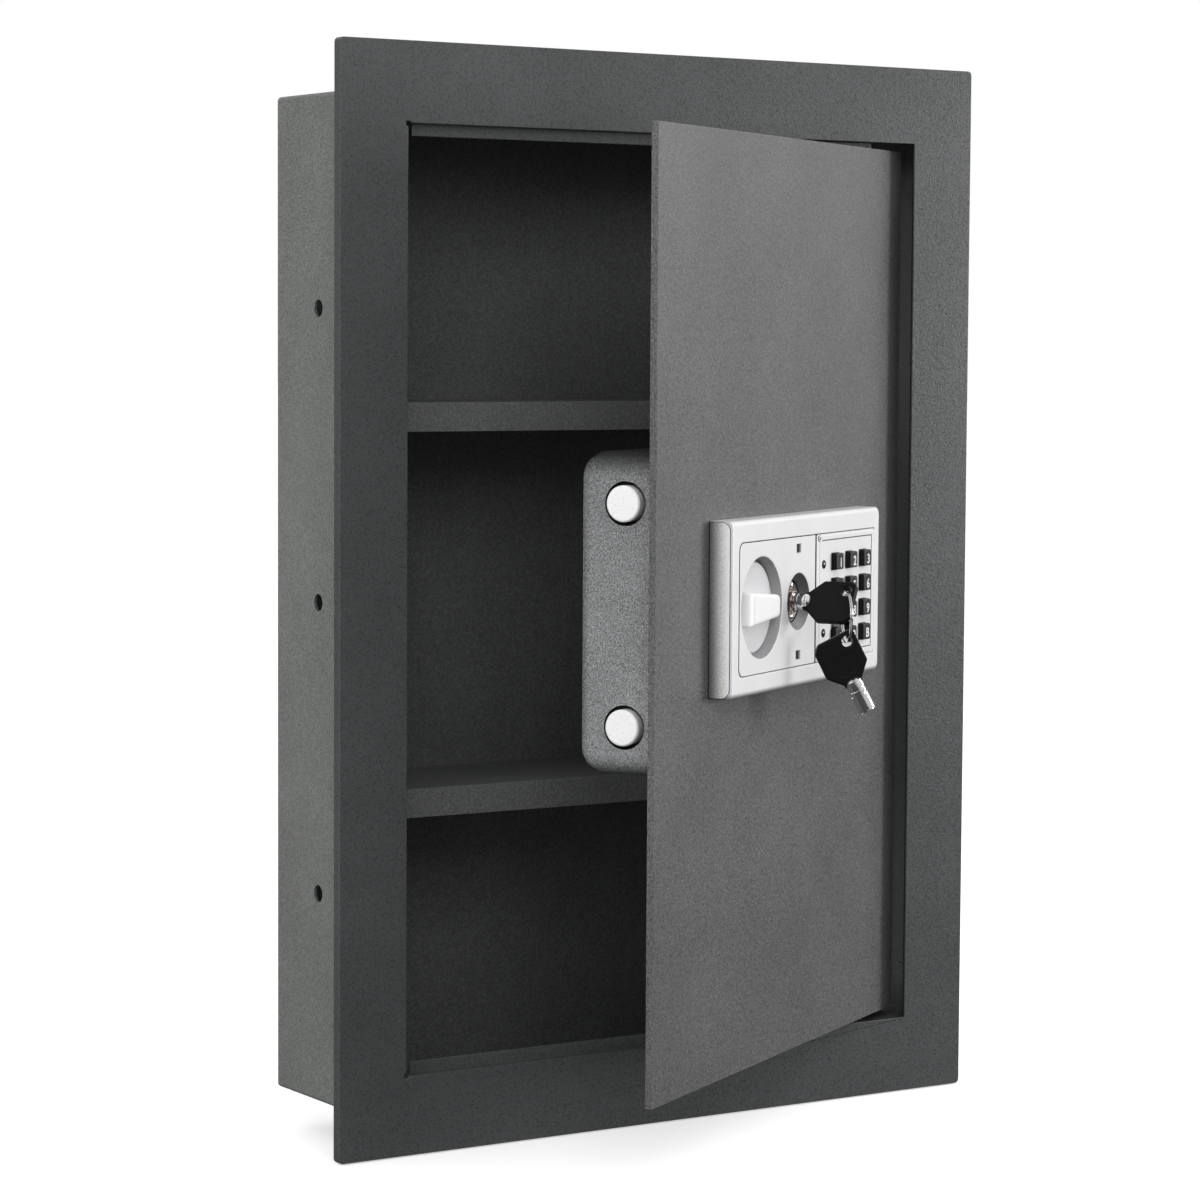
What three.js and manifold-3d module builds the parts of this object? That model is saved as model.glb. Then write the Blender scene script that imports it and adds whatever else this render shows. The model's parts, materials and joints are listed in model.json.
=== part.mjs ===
// Recessed wall safe: sheet-steel cabinet with a trim flange, a swinging door on
// concealed pins, two live bolts worked by a knob, a keypad and an override lock.
// Millimetres, +Z up. Built from the flange's lower front left corner (X across,
// Y into the wall) and shifted at the end so that the origin is the centre of the
// outer face of the back panel.
import * as THREE from 'three';
import { mergeVertices } from 'three/addons/utils/BufferGeometryUtils.js';
import Module from 'manifold-3d';

const wasm = await Module();
wasm.setup();

// ---------- driving dimensions ----------
const FLANGE_W = 387.35, FLANGE_H = 552.45, DEPTH = 95.25;
const SHEET = 2.0, RIM_DEPTH = 6.1, RIM_CORNER = 2.2;
const BOX_INSET_X = 15.9, BOX_INSET_BOTTOM = 20.5, BOX_INSET_TOP = 23.6, BOX_SHEET = 1.5, BEND_R = 2.2;
const OPEN_X0 = 38.1, OPEN_X1 = 349.25, OPEN_Z0 = 40.2, OPEN_Z1 = 512.3;
const STOP_Y = 6.0, STOP_T = 1.5, STOP_W = 6.0, STOP_W_SIDE = 3.2, STOP_START_X = 43.4;
const FIX_HOLE_D = 8.8, FIX_HOLE_Y = 51.5, FIX_HOLES_Z = [127.0, 274.4, 421.8];
const SHELF_FRONT_Y = 14, SHELF_BACK_Y = 92.6, SHELF_T = 1.2, SHELF_LIP = 14.6;
const SHELF_TOPS = [375.3, 182.1], SHELF_NOTCH_X = 294, SHELF_NOTCH_Y = 46.5;
const DOOR_X0 = 40.6, DOOR_X1 = 346.75, DOOR_Z0 = 44.0, DOOR_Z1 = 508.6;
const DOOR_Y = 1.5, DOOR_T = 3.7, DOOR_REAR = DOOR_Y + DOOR_T;
const PIVOT_X = 324.75, PIVOT_Y = 17.5, DOOR_ANGLE = 31.2;
const PIN_R = 4.0, PIN_CLEAR = 0.3;
const HOUS = { x0: 50.6, x1: 252.6, y1: 45.3, z0: 200.8, z1: 354.6, wall: 1.8, r: 11 };
const BOLT_R = 8.75, BOLT_Y = 22.4, BOLT_ZS = [329.9, 223.6], BOLT_TIP_X = 47.6, BOLT_HOLE_R = 10.6;
const CARRIAGE_X = 84.0, THROW = 14.1;
const BEZ = { x0: 100.6, x1: 290.6, z0: 233.9, z1: 320.1, yBack: 1.2, yFront: -10.9, wall: 2.2 };
const FACE_Y = BEZ.yFront, PLATE_T = 2.2;
const KNOB_X = 136.7, KNOB_Z = 276.4, DISH_R = 25.1, DISH_FLOOR_R = 23.4, DISH_FLOOR_Y = -4.4;
const CAM_ORBIT = 12.0, CAM_HALF = 36;
const LOCK_X = 182.6, LOCK_Z = 276.6, CONE_R = 14.4, CONE_FLOOR_R = 10.8, CONE_FLOOR_Y = -6.4;
const BTN_W = 9.2, BTN_H = 8.4, BTN_FACE_Y = -14.0, BTN_X = [229.4, 248.1, 266.8], BTN_Z = [294.4, 281.55, 268.7, 255.85];
const LED_X = 214.5, LED_ZS = [293.5, 258.4];
const KEY_TURN = 32, KEY_TWO_TILT = 27, BOW_W = 22.8, BOW_T = 3.6, BOW_FAR = -40.6, BOW_HOLE_R = 3.3, RING_R = 12.2, RING_WIRE = 0.75;

// ---------- materials ----------
const mat = (c, rough, metal) => new THREE.MeshStandardMaterial({ color: c, roughness: rough, metalness: metal });
const PAINT = () => mat(0x55585a, 0.62, 0.25), PAINT_IN = () => mat(0x3a3d3e, 0.65, 0.2);
const ZINC = () => mat(0xb9bcc0, 0.35, 0.9), CHROME = () => mat(0xe8eaec, 0.08, 1.0);
const SILVER = () => mat(0xd4d6d8, 0.38, 0.35), BLACK = () => mat(0x161718, 0.4, 0.0), BRASS = () => mat(0xb08d45, 0.3, 0.9);

// ---------- solid helpers ----------
function toSolid(geo) {
  let g = geo.index ? geo.toNonIndexed() : geo.clone();
  g.deleteAttribute('normal'); g.deleteAttribute('uv');
  g = mergeVertices(g, 1e-4);
  const m = new wasm.Mesh({ numProp: 3, vertProperties: new Float32Array(g.attributes.position.array), triVerts: new Uint32Array(g.index.array) });
  return new wasm.Manifold(m);
}
function toGeo(s) {
  const m = s.getMesh();
  const g = new THREE.BufferGeometry();
  const n = m.vertProperties.length / m.numProp;
  const p = new Float32Array(n * 3);
  for (let i = 0; i < n; i++) for (let k = 0; k < 3; k++) p[3 * i + k] = m.vertProperties[i * m.numProp + k];
  g.setAttribute('position', new THREE.BufferAttribute(p, 3));
  g.setIndex(new THREE.BufferAttribute(new Uint32Array(m.triVerts), 1));
  return g;
}
const isGeo = (a) => a && a.isBufferGeometry;
const S = (a) => (isGeo(a) ? toSolid(a) : a);
const join = (...a) => a.map(S).reduce((x, y) => x.add(y));
const cut = (a, ...b) => b.map(S).reduce((x, y) => x.subtract(y), S(a));
const box = (x0, x1, y0, y1, z0, z1) => {
  const g = new THREE.BoxGeometry(x1 - x0, y1 - y0, z1 - z0);
  g.translate((x0 + x1) / 2, (y0 + y1) / 2, (z0 + z1) / 2);
  return g;
};
const cylY = (r, y0, y1, x, z, n = 32, r2 = r) => { // r at y0, r2 at y1
  const g = new THREE.CylinderGeometry(r2, r, y1 - y0, n);
  g.translate(x, (y0 + y1) / 2, z);
  return g;
};
const cylZ = (r, z0, z1, x, y, n = 24, r2 = r) => {
  const g = new THREE.CylinderGeometry(r2, r, z1 - z0, n);
  g.rotateX(Math.PI / 2); g.translate(x, y, (z0 + z1) / 2);
  return g;
};
const cylX = (r, x0, x1, y, z, n = 32) => {
  const g = new THREE.CylinderGeometry(r, r, x1 - x0, n);
  g.rotateZ(-Math.PI / 2); g.translate((x0 + x1) / 2, y, z);
  return g;
};
function roundRect(x0, x1, y0, y1, r, seg = 3) {
  const pts = [];
  const c = [[x1 - r, y0 + r, -90], [x1 - r, y1 - r, 0], [x0 + r, y1 - r, 90], [x0 + r, y0 + r, 180]];
  for (const [cx, cy, a0] of c) for (let i = 0; i <= seg; i++) {
    const a = THREE.MathUtils.degToRad(a0 + 90 * i / seg);
    pts.push(new THREE.Vector2(cx + r * Math.cos(a), cy + r * Math.sin(a)));
  }
  return new THREE.Shape(pts);
}
// slab with an XZ outline, from y0 to y1
function slabY(shape, y0, y1) {
  const g = new THREE.ExtrudeGeometry(shape, { depth: y1 - y0, bevelEnabled: false, curveSegments: 4 });
  g.rotateX(Math.PI / 2); // shape y goes to +Z, depth goes to -Y
  g.translate(0, y1, 0);
  return g;
}
const rrY = (x0, x1, z0, z1, r, y0, y1, seg = 3) => slabY(roundRect(x0, x1, z0, z1, r, seg), y0, y1);
// slab with a YZ outline, from x0 to x1
function slabX(pts, x0, x1) {
  const g = new THREE.ExtrudeGeometry(new THREE.Shape(pts.map(([a, b]) => new THREE.Vector2(a, b))), { depth: x1 - x0, bevelEnabled: false });
  g.applyMatrix4(new THREE.Matrix4().makeBasis(new THREE.Vector3(0, 1, 0), new THREE.Vector3(0, 0, 1), new THREE.Vector3(1, 0, 0)));
  g.translate(x0, 0, 0);
  return g;
}

const safe = new THREE.Group();
safe.position.set(-FLANGE_W / 2, -DEPTH, -FLANGE_H / 2);
const cabinet = new THREE.Group(); safe.add(cabinet);
function put(parent, name, solid, material) {
  const m = new THREE.Mesh(isGeo(solid) ? solid : toGeo(solid), material);
  m.name = name; parent.add(m);
  return m;
}

// ---------- cabinet ----------
const BX0 = BOX_INSET_X, BX1 = FLANGE_W - BOX_INSET_X, BZ0 = BOX_INSET_BOTTOM, BZ1 = FLANGE_H - BOX_INSET_TOP;
{
  const y0 = SHEET + 0.2, y1 = DEPTH;
  let wrap = cut(rrY(BX0, BX1, BZ0, BZ1, BEND_R, y0, y1),
    rrY(BX0 + BOX_SHEET, BX1 - BOX_SHEET, BZ0 + BOX_SHEET, BZ1 - BOX_SHEET, BEND_R - 1.2, y0 - 1, y1 + 1));
  for (const z of FIX_HOLES_Z) for (const x of [BX0, BX1]) wrap = cut(wrap, cylX(FIX_HOLE_D / 2, x - 4, x + 4, FIX_HOLE_Y, z, 24));
  put(cabinet, 'body_wrap', wrap, PAINT());
  put(cabinet, 'back_panel', rrY(BX0 + BOX_SHEET + 0.2, BX1 - BOX_SHEET - 0.2, BZ0 + BOX_SHEET + 0.2, BZ1 - BOX_SHEET - 0.2, 1.2, DEPTH - BOX_SHEET, DEPTH, 2), PAINT());
}
{
  let f = cut(rrY(0, FLANGE_W, 0, FLANGE_H, RIM_CORNER, 0, RIM_DEPTH),
    rrY(SHEET, FLANGE_W - SHEET, SHEET, FLANGE_H - SHEET, 1.0, SHEET, RIM_DEPTH + 1),
    box(OPEN_X0, OPEN_X1, -1, SHEET + 1, OPEN_Z0, OPEN_Z1));
  const t = STOP_T, ye = STOP_Y + STOP_T, lipEnd = PIVOT_X;
  // returns round three sides of the opening, then the stop lip turned inwards
  const top = join(box(OPEN_X0 - t, lipEnd, 1, ye, OPEN_Z1, OPEN_Z1 + t), box(STOP_START_X, lipEnd, STOP_Y, ye, OPEN_Z1 - STOP_W, OPEN_Z1 + t));
  const bot = join(box(OPEN_X0 - t, lipEnd, 1, ye, OPEN_Z0 - t, OPEN_Z0), box(STOP_START_X, lipEnd, STOP_Y, ye, OPEN_Z0 - t, OPEN_Z0 + STOP_W));
  const left = join(box(OPEN_X0 - t, OPEN_X0, 1, ye, OPEN_Z0 - t, OPEN_Z1 + t), box(OPEN_X0 - t, OPEN_X0 + STOP_W_SIDE, STOP_Y, ye, OPEN_Z0 + 1.2, OPEN_Z1 - 1.2));
  f = join(f, top, bot, left);
  // corner relief where the folded lips meet
  f = cut(f, box(OPEN_X0 - 1.3, OPEN_X0 + 1.6, -1, 4.2, OPEN_Z1 - 1.4, OPEN_Z1 + 0.9),
    box(OPEN_X0 - 1.3, OPEN_X0 + 1.6, -1, 4.2, OPEN_Z0 - 0.9, OPEN_Z0 + 1.4));
  put(cabinet, 'front_frame', f, PAINT());
}
for (const [i, name] of [[0, 'shelf_upper'], [1, 'shelf_lower']]) {
  const zt = SHELF_TOPS[i], zb = zt - SHELF_LIP, x0 = BX0 + BOX_SHEET + 0.4, x1 = BX1 - BOX_SHEET - 0.4;
  const t = SHELF_T, nx = SHELF_NOTCH_X, ny = SHELF_NOTCH_Y;
  const top = join(box(x0, nx, SHELF_FRONT_Y, SHELF_BACK_Y, zt - t, zt), box(nx - 1, x1, ny, SHELF_BACK_Y, zt - t, zt));
  const s = join(top, box(x0, nx, SHELF_FRONT_Y, SHELF_FRONT_Y + t, zb, zt), box(nx - t, nx, SHELF_FRONT_Y, ny + t, zb, zt),
    box(nx - t, x1, ny, ny + t, zb, zt), box(x0, x0 + t, SHELF_FRONT_Y, SHELF_BACK_Y, zb + 2, zt),
    box(x1 - t, x1, ny, SHELF_BACK_Y, zb + 2, zt), box(x0, x1, SHELF_BACK_Y - t, SHELF_BACK_Y, zb + 4, zt));
  put(cabinet, name, s, PAINT_IN());
}
const PIN_HOLE_R = PIN_R + PIN_CLEAR;
for (const s of [1, -1]) {
  const zf = (z) => (s > 0 ? z : FLANGE_H - z); // mirror about mid height
  const zb = (z0, z1) => (s > 0 ? [z0, z1] : [FLANGE_H - z1, FLANGE_H - z0]);
  const wallX = BX1 - BOX_SHEET - 0.3;
  const plate = zb(514.5, 517.5), leg = zb(488, 517.5);
  let b = join(box(309, wallX, 8.6, 30, ...plate), box(wallX - 3, wallX, 8.6, 30, ...leg));
  b = cut(b, cylZ(PIN_HOLE_R, plate[0] - 1, plate[1] + 1, PIVOT_X, PIVOT_Y, 24));
  put(cabinet, s > 0 ? 'hinge_bracket_top' : 'hinge_bracket_bottom', b, PAINT_IN());
}

// ---------- door, modelled closed and then swung open on its pins ----------
const hinge = new THREE.Group();
hinge.position.set(PIVOT_X, PIVOT_Y, 0);
hinge.rotation.z = THREE.MathUtils.degToRad(DOOR_ANGLE);
cabinet.add(hinge);
const door = new THREE.Group(); door.position.set(-PIVOT_X, -PIVOT_Y, 0); hinge.add(door);

put(door, 'door_panel', cut(box(DOOR_X0, DOOR_X1, DOOR_Y, DOOR_REAR, DOOR_Z0, DOOR_Z1),
  cylY(5.5, DOOR_Y - 1, DOOR_REAR + 1, KNOB_X, KNOB_Z, 24), cylY(7.2, DOOR_Y - 1, DOOR_REAR + 1, LOCK_X, LOCK_Z, 24),
  cylY(7, DOOR_Y - 1, DOOR_REAR + 1, 222, 270, 20)), PAINT());
for (const s of [1, -1]) {
  const zb = (z0, z1) => (s > 0 ? [z0, z1] : [FLANGE_H - z1, FLANGE_H - z0]);
  const suffix = s > 0 ? 'top' : 'bottom';
  let lug = join(box(311, 338, DOOR_REAR + 0.3, DOOR_REAR + 2.8, ...zb(478, 503)), box(311, 338, DOOR_REAR + 0.3, 27, ...zb(500, 503)));
  lug = cut(lug, cylZ(PIN_HOLE_R, 0, FLANGE_H, PIVOT_X, PIVOT_Y, 24));
  put(door, 'hinge_lug_' + suffix, lug, PAINT_IN());
  const b0 = zb(503.3, 514.2);
  put(door, 'hinge_bush_' + suffix, cut(cylZ(7, ...b0, PIVOT_X, PIVOT_Y, 24), cylZ(PIN_HOLE_R, b0[0] - 1, b0[1] + 1, PIVOT_X, PIVOT_Y, 24)), BRASS());
  // pin with a head under the lug
  const shank = zb(497.5, 520), head = zb(495.7, 499.7);
  put(door, 'hinge_pin_' + suffix, join(cylZ(PIN_R, ...shank, PIVOT_X, PIVOT_Y, 20), cylZ(6.2, ...head, PIVOT_X, PIVOT_Y, 20)), ZINC());
}

// lock housing: dished cover over the bolt work
{
  const { x0, x1, y1, z0, z1, wall, r } = HOUS;
  const prof = (g, ys) => {
    const a = z0 + g, b = z1 - g, ye = y1 - g, rr = r - g, p = [[ys, a]];
    const n = 5;
    for (let i = 0; i <= n; i++) { const t = Math.PI / 2 * i / n; p.push([ye - rr + rr * Math.sin(t), a + rr - rr * Math.cos(t)]); }
    for (let i = 0; i <= n; i++) { const t = Math.PI / 2 * i / n; p.push([ye - rr + rr * Math.cos(t), b - rr + rr * Math.sin(t)]); }
    p.push([ys, b]);
    return p;
  };
  let h = cut(slabX(prof(0, DOOR_REAR + 0.3), x0, x1), slabX(prof(wall, DOOR_REAR - 2), x0 + wall, x1 - wall));
  for (const z of BOLT_ZS) h = cut(h, cylX(BOLT_HOLE_R, x0 - 2, x0 + wall + 2, BOLT_Y, z, 32));
  h = cut(h, box(157, 227, y1 - wall - 1, y1 + 2, 208, 268));
  put(door, 'lock_housing', h, PAINT());
  put(door, 'battery_cover', join(box(157.4, 226.6, y1 - wall + 0.1, y1 + 0.1, 208.4, 267.6), box(182, 202, y1, y1 + 1.2, 258, 261)), PAINT_IN());
}
for (const [i, n] of [[0, 'upper'], [1, 'lower']]) {
  const z = BOLT_ZS[i];
  put(door, 'bolt_guide_' + n, cut(box(55, 66, DOOR_REAR + 0.3, 35, z - 12.5, z + 12.5), cylX(BOLT_R + 0.35, 54, 67, BOLT_Y, z, 32)), ZINC());
  put(door, 'bolt_' + n, cylX(BOLT_R, BOLT_TIP_X, CARRIAGE_X - 0.3, BOLT_Y, z, 32), CHROME());
}
// bolt carriage: upright flange behind the bolts, arm with the cam slot and the blocking tooth
const PIN_ANG = THREE.MathUtils.degToRad(CAM_HALF);
const camPinX = KNOB_X + CAM_ORBIT * Math.sin(PIN_ANG), camPinZ = KNOB_Z + CAM_ORBIT * Math.cos(PIN_ANG);
put(door, 'bolt_carriage', cut(join(box(CARRIAGE_X, CARRIAGE_X + 3, 13, 32, 211, 343), box(CARRIAGE_X + 2, 154, 19, 22, 268, 298), box(121, 125.2, 19, 22, 262, 270)),
  box(camPinX - 3.15, camPinX + 3.15, 18, 23, camPinZ - 3.4, KNOB_Z + CAM_ORBIT + 3.2)), ZINC());
put(door, 'drive_cam', join(cut(cylY(17.5, 13, 16.5, KNOB_X, KNOB_Z, 32), cylY(4.4, 12, 18, KNOB_X, KNOB_Z, 20)), cylY(2.5, 16, 23, camPinX, camPinZ, 16)), ZINC());
put(door, 'knob_spindle', join(cylY(4.0, -9.5, 18.2, KNOB_X, KNOB_Z, 20), cylY(6.6, 9.8, 12.6, KNOB_X, KNOB_Z, 20)), ZINC());
// solenoid with its plunger pointing up at the tooth
const SOL = { x: 116, y: 20.5 };
put(door, 'solenoid_body', cut(join(box(SOL.x - 11, SOL.x + 11, 10, 31, 222, 252), box(SOL.x - 15, SOL.x + 15, 10, 11.8, 219, 255), box(SOL.x - 15, SOL.x + 15, DOOR_REAR + 0.3, 11, 219, 221.5)),
  cylZ(3.35, 230, 254, SOL.x, SOL.y, 20)), ZINC());
put(door, 'solenoid_plunger', join(cylZ(3.0, 232, 261, SOL.x, SOL.y, 20), cylZ(4.6, 259.2, 260.6, SOL.x, SOL.y, 20)), ZINC());
{
  const r = 4.1, wire = 0.4, z0 = 252.9, z1 = 258.6, turns = 4.5;
  class Helix extends THREE.Curve {
    getPoint(t, target = new THREE.Vector3()) {
      const a = t * turns * 2 * Math.PI;
      return target.set(SOL.x + r * Math.cos(a), SOL.y + r * Math.sin(a), z0 + (z1 - z0) * t);
    }
  }
  const c = []; for (let i = 0; i < 6; i++) c.push(new THREE.Vector2(wire * Math.cos(i * Math.PI / 3), wire * Math.sin(i * Math.PI / 3)));
  put(door, 'plunger_spring', toSolid(new THREE.ExtrudeGeometry(new THREE.Shape(c), { steps: 54, bevelEnabled: false, extrudePath: new Helix() })), ZINC());
}
// battery tray with four cells
{
  const x0 = 160, x1 = 224, z0 = 210, z1 = 266, y0 = 24, y1 = 42.6;
  put(door, 'battery_box', cut(box(x0, x1, y0, y1, z0, z1), box(x0 + 1.2, x1 - 1.2, y0 + 1.6, y1 + 1, z0 + 1.2, z1 - 1.2)), BLACK());
  for (let i = 0; i < 4; i++) {
    const cx = x0 + 1.2 + 7.7 + i * 15.4;
    const up = i % 2 === 0;
    const body = up ? [213, 261.5] : [214.5, 263], nub = up ? [261, 263] : [213, 215];
    put(door, 'battery_' + (i + 1), join(cylZ(7.1, ...body, cx, 33.4, 20), cylZ(2.6, ...nub, cx, 33.4, 12)), BLACK());
  }
}

// ---------- control panel on the face of the door ----------
const WIN = { x0: 109.5, x1: 283.4, z0: 243.7, z1: 309.4 };
put(door, 'bezel', (() => {
  const o = rrY(BEZ.x0, BEZ.x1, BEZ.z0, BEZ.z1, 3.2, BEZ.yFront, BEZ.yBack, 4);
  return cut(o, rrY(BEZ.x0 + BEZ.wall, BEZ.x1 - BEZ.wall, BEZ.z0 + BEZ.wall, BEZ.z1 - BEZ.wall, 1.4, BEZ.yFront + PLATE_T, BEZ.yBack + 1, 2),
    rrY(WIN.x0, WIN.x1, WIN.z0, WIN.z1, 2.5, BEZ.yFront - 1, BEZ.yFront + PLATE_T + 1, 3));
})(), SILVER());
const pf = FACE_Y, pr = FACE_Y + PLATE_T;
put(door, 'knob_plate', cut(join(rrY(109.9, 163.2, 244.2, 309.0, 2.2, pf, pr), cylY(DISH_R + 1.5, pr - 0.5, -2.6, KNOB_X, KNOB_Z, 40, DISH_FLOOR_R + 1.6)),
  cylY(DISH_R, pf - 0.001, DISH_FLOOR_Y, KNOB_X, KNOB_Z, 40, DISH_FLOOR_R), cylY(4.7, -6, 0, KNOB_X, KNOB_Z, 20)), SILVER());
put(door, 'lock_plate', cut(join(rrY(163.6, 203.4, 245.0, 308.2, 0.8, pf, pr, 1), cylY(CONE_R + 1.6, pr - 0.5, CONE_FLOOR_Y, LOCK_X, LOCK_Z, 32, CONE_FLOOR_R + 1.8)),
  cylY(CONE_R, pf - 0.001, CONE_FLOOR_Y + 0.01, LOCK_X, LOCK_Z, 32, CONE_FLOOR_R),
  box(LOCK_X - 3.4, LOCK_X + 2.4, pf - 1, pr + 1, 301.1, 305.7), box(LOCK_X - 3.4, LOCK_X + 2.4, pf - 1, pr + 1, 247.5, 252.1)), SILVER());
{
  let k = S(rrY(205.2, 283.0, 244.1, 309.0, 2.0, pf, pr));
  for (const x of BTN_X) for (const z of BTN_Z) k = cut(k, box(x - BTN_W / 2 - 0.3, x + BTN_W / 2 + 0.3, pf - 1, pr + 1, z - BTN_H / 2 - 0.3, z + BTN_H / 2 + 0.3));
  for (const z of LED_ZS) k = cut(k, cylY(1.9, pf - 1, pr + 1, LED_X, z, 16));
  put(door, 'keypad_plate', k, SILVER());
}
const NAMES = [['1', '2', '3'], ['4', '5', '6'], ['7', '8', '9'], ['a', '0', 'b']];
NAMES.forEach((row, r) => row.forEach((nm, c) => {
  const x = BTN_X[c], z = BTN_Z[r], w = BTN_W / 2, h = BTN_H / 2;
  put(door, 'button_' + nm, join(box(x - w, x + w, BTN_FACE_Y, -7.6, z - h, z + h), box(x - w - 1, x + w + 1, -8.4, -7.3, z - h - 1, z + h + 1)), BLACK());
}));
for (const [i, n] of [[0, 'upper'], [1, 'lower']]) put(door, 'led_' + n, cylY(1.55, pf - 0.4, -6, LED_X, LED_ZS[i], 16), mat(i ? 0x7a1512 : 0x1f6a2c, 0.2, 0));
put(door, 'circuit_board', join(box(208, 281, -5.6, -4.0, 246, 307), box(236, 252, -4.2, -2.4, 268, 284), box(258, 266, -4.2, -1.6, 290, 300), box(212, 230, -4.2, -0.6, 262, 278)), mat(0x1f5a34, 0.6, 0));
put(door, 'knob', cut(join(cylY(22.3, -6.2, DISH_FLOOR_Y + 0.0 - 0.4, KNOB_X, KNOB_Z, 40),
  (() => { // tapered thumb bar across the disc
    const sh = new THREE.Shape([[-20.6, -9.1], [-17, -9.3], [17.5, -6.0], [20.4, -4.6], [20.4, 4.6], [17.5, 6.0], [-17, 9.3], [-20.6, 9.1]].map(([a, b]) => new THREE.Vector2(KNOB_X + a, KNOB_Z + b)));
    return slabY(sh, -13.2, -5.0);
  })()), cylY(4.35, -9.9, 0, KNOB_X, KNOB_Z, 20)), SILVER());
put(door, 'lock_barrel', cut(join(cylY(10.3, CONE_FLOOR_Y + 0.3, -4.2, LOCK_X, LOCK_Z, 32), cylY(6.6, -4.4, 17, LOCK_X, LOCK_Z, 24), cylY(5.6, -8.9, -5.5, LOCK_X, LOCK_Z, 24)),
  cylY(4.45, -10, 18, LOCK_X, LOCK_Z, 24), cylY(1.15, -8, -3, LOCK_X, LOCK_Z + 7.95, 12), cylY(1.15, -8, -3, LOCK_X, LOCK_Z - 7.95, 12)), ZINC());
for (const [s, n] of [[1, 'upper'], [-1, 'lower']]) put(door, 'barrel_screw_' + n, join(cylY(1.85, -7.7, -6.35, LOCK_X, LOCK_Z + s * 7.95, 16), cylY(0.9, -6.5, 0.9, LOCK_X, LOCK_Z + s * 7.95, 12)), ZINC());

// ---------- keys ----------
// outline of a key bow: s runs from the far end to the barrel, t across
const BOW_LEN = 26.6, BOW_STRAIGHT = 18, HOLE_S = 4.9, HOLE_T = 6.2;
function bowSolid() {
  const w = BOW_W / 2, pts = [[0, -w + 3.4], [3.4, -w], [BOW_STRAIGHT, -w], [BOW_LEN - 3.2, -4.6], [BOW_LEN, -4.6], [BOW_LEN, 4.6], [BOW_LEN - 3.2, 4.6], [BOW_STRAIGHT, w], [2.0, w], [0, w - 2.0]];
  const sh = new THREE.Shape(pts.map(([a, b]) => new THREE.Vector2(a, b)));
  const g = new THREE.ExtrudeGeometry(sh, { depth: BOW_T, bevelEnabled: false }); g.translate(0, 0, -BOW_T / 2);
  const h = new THREE.CylinderGeometry(BOW_HOLE_R, BOW_HOLE_R, BOW_T + 2, 20); h.rotateX(Math.PI / 2); h.translate(HOLE_S, HOLE_T, 0);
  return toGeo(cut(g, h)); // X along the key towards the barrel, Y across, Z through the bow
}
function barrelGeo(len, start) { // tube along X from start
  const o = new THREE.CylinderGeometry(4.1, 4.1, len, 24); o.rotateZ(-Math.PI / 2); o.translate(start + len / 2, 0, 0);
  const i = new THREE.CylinderGeometry(2.8, 2.8, 20, 20); i.rotateZ(-Math.PI / 2); i.translate(start + len - 10 + 1, 0, 0);
  return toGeo(cut(o, i));
}
const V = (x, y, z) => new THREE.Vector3(x, y, z);
const phi = THREE.MathUtils.degToRad(KEY_TURN);
const k1s = V(0, 1, 0), k1t = V(Math.sin(phi), 0, Math.cos(phi)), k1n = new THREE.Vector3().crossVectors(k1s, k1t);
const k1 = new THREE.Matrix4().makeBasis(k1s, k1t, k1n).setPosition(LOCK_X, BOW_FAR, LOCK_Z);
const placed = (g, m) => { const c = g.clone(); c.applyMatrix4(m); return c; };
put(door, 'key_bow_1', placed(bowSolid(), k1), BLACK());
put(door, 'key_barrel_1', placed(barrelGeo(16.8, BOW_LEN + 0.3), k1), CHROME());
put(door, 'lock_plug', join(cylY(2.45, -7.9, 4.2, LOCK_X, LOCK_Z, 20), cylY(4.1, 4.0, 21, LOCK_X, LOCK_Z, 20), box(LOCK_X - 14, LOCK_X + 2.5, 18.6, 20.8, LOCK_Z - 3, LOCK_Z + 3)), ZINC());
const hole1 = V(HOLE_S, HOLE_T, 0).applyMatrix4(k1);
const ringDir = V(0.84, 0.5426, 0).normalize();
const ringC = hole1.clone().add(V(0, 0, -RING_R));
{
  class Loop extends THREE.Curve {
    getPoint(t, target = new THREE.Vector3()) {
      const a = t * 2 * Math.PI;
      return target.copy(ringC).addScaledVector(ringDir, RING_R * Math.sin(a)).add(V(0, 0, RING_R * Math.cos(a)));
    }
  }
  const g = new THREE.TorusGeometry(RING_R, RING_WIRE, 6, 36);
  // torus lies in its XY plane: X to ringDir, Y to +Z
  const n = new THREE.Vector3().crossVectors(ringDir, V(0, 0, 1));
  g.applyMatrix4(new THREE.Matrix4().makeBasis(ringDir, V(0, 0, 1), n).setPosition(ringC));
  put(door, 'key_ring', toSolid(g), ZINC());
}
const hole2 = ringC.clone().add(V(0, 0, -RING_R));
const tilt = THREE.MathUtils.degToRad(KEY_TWO_TILT);
const side = V(ringDir.y, -ringDir.x, 0); // sideways in the plane of the second bow, away from the door
const k2s = side.clone().multiplyScalar(Math.sin(tilt)).add(V(0, 0, -Math.cos(tilt)));
const k2t = side.clone().multiplyScalar(Math.cos(tilt)).add(V(0, 0, Math.sin(tilt)));
const k2n = new THREE.Vector3().crossVectors(k2s, k2t);
const k2 = new THREE.Matrix4().makeBasis(k2s, k2t, k2n);
k2.setPosition(hole2.clone().addScaledVector(k2s, -HOLE_S).addScaledVector(k2t, -HOLE_T));
put(door, 'key_bow_2', placed(bowSolid(), k2), BLACK());
put(door, 'key_barrel_2', placed(barrelGeo(14.0, BOW_LEN + 0.3), k2), CHROME());

export default safe;
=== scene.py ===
import bpy, bmesh, json, math
import numpy as np
from mathutils import Vector, Matrix


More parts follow.
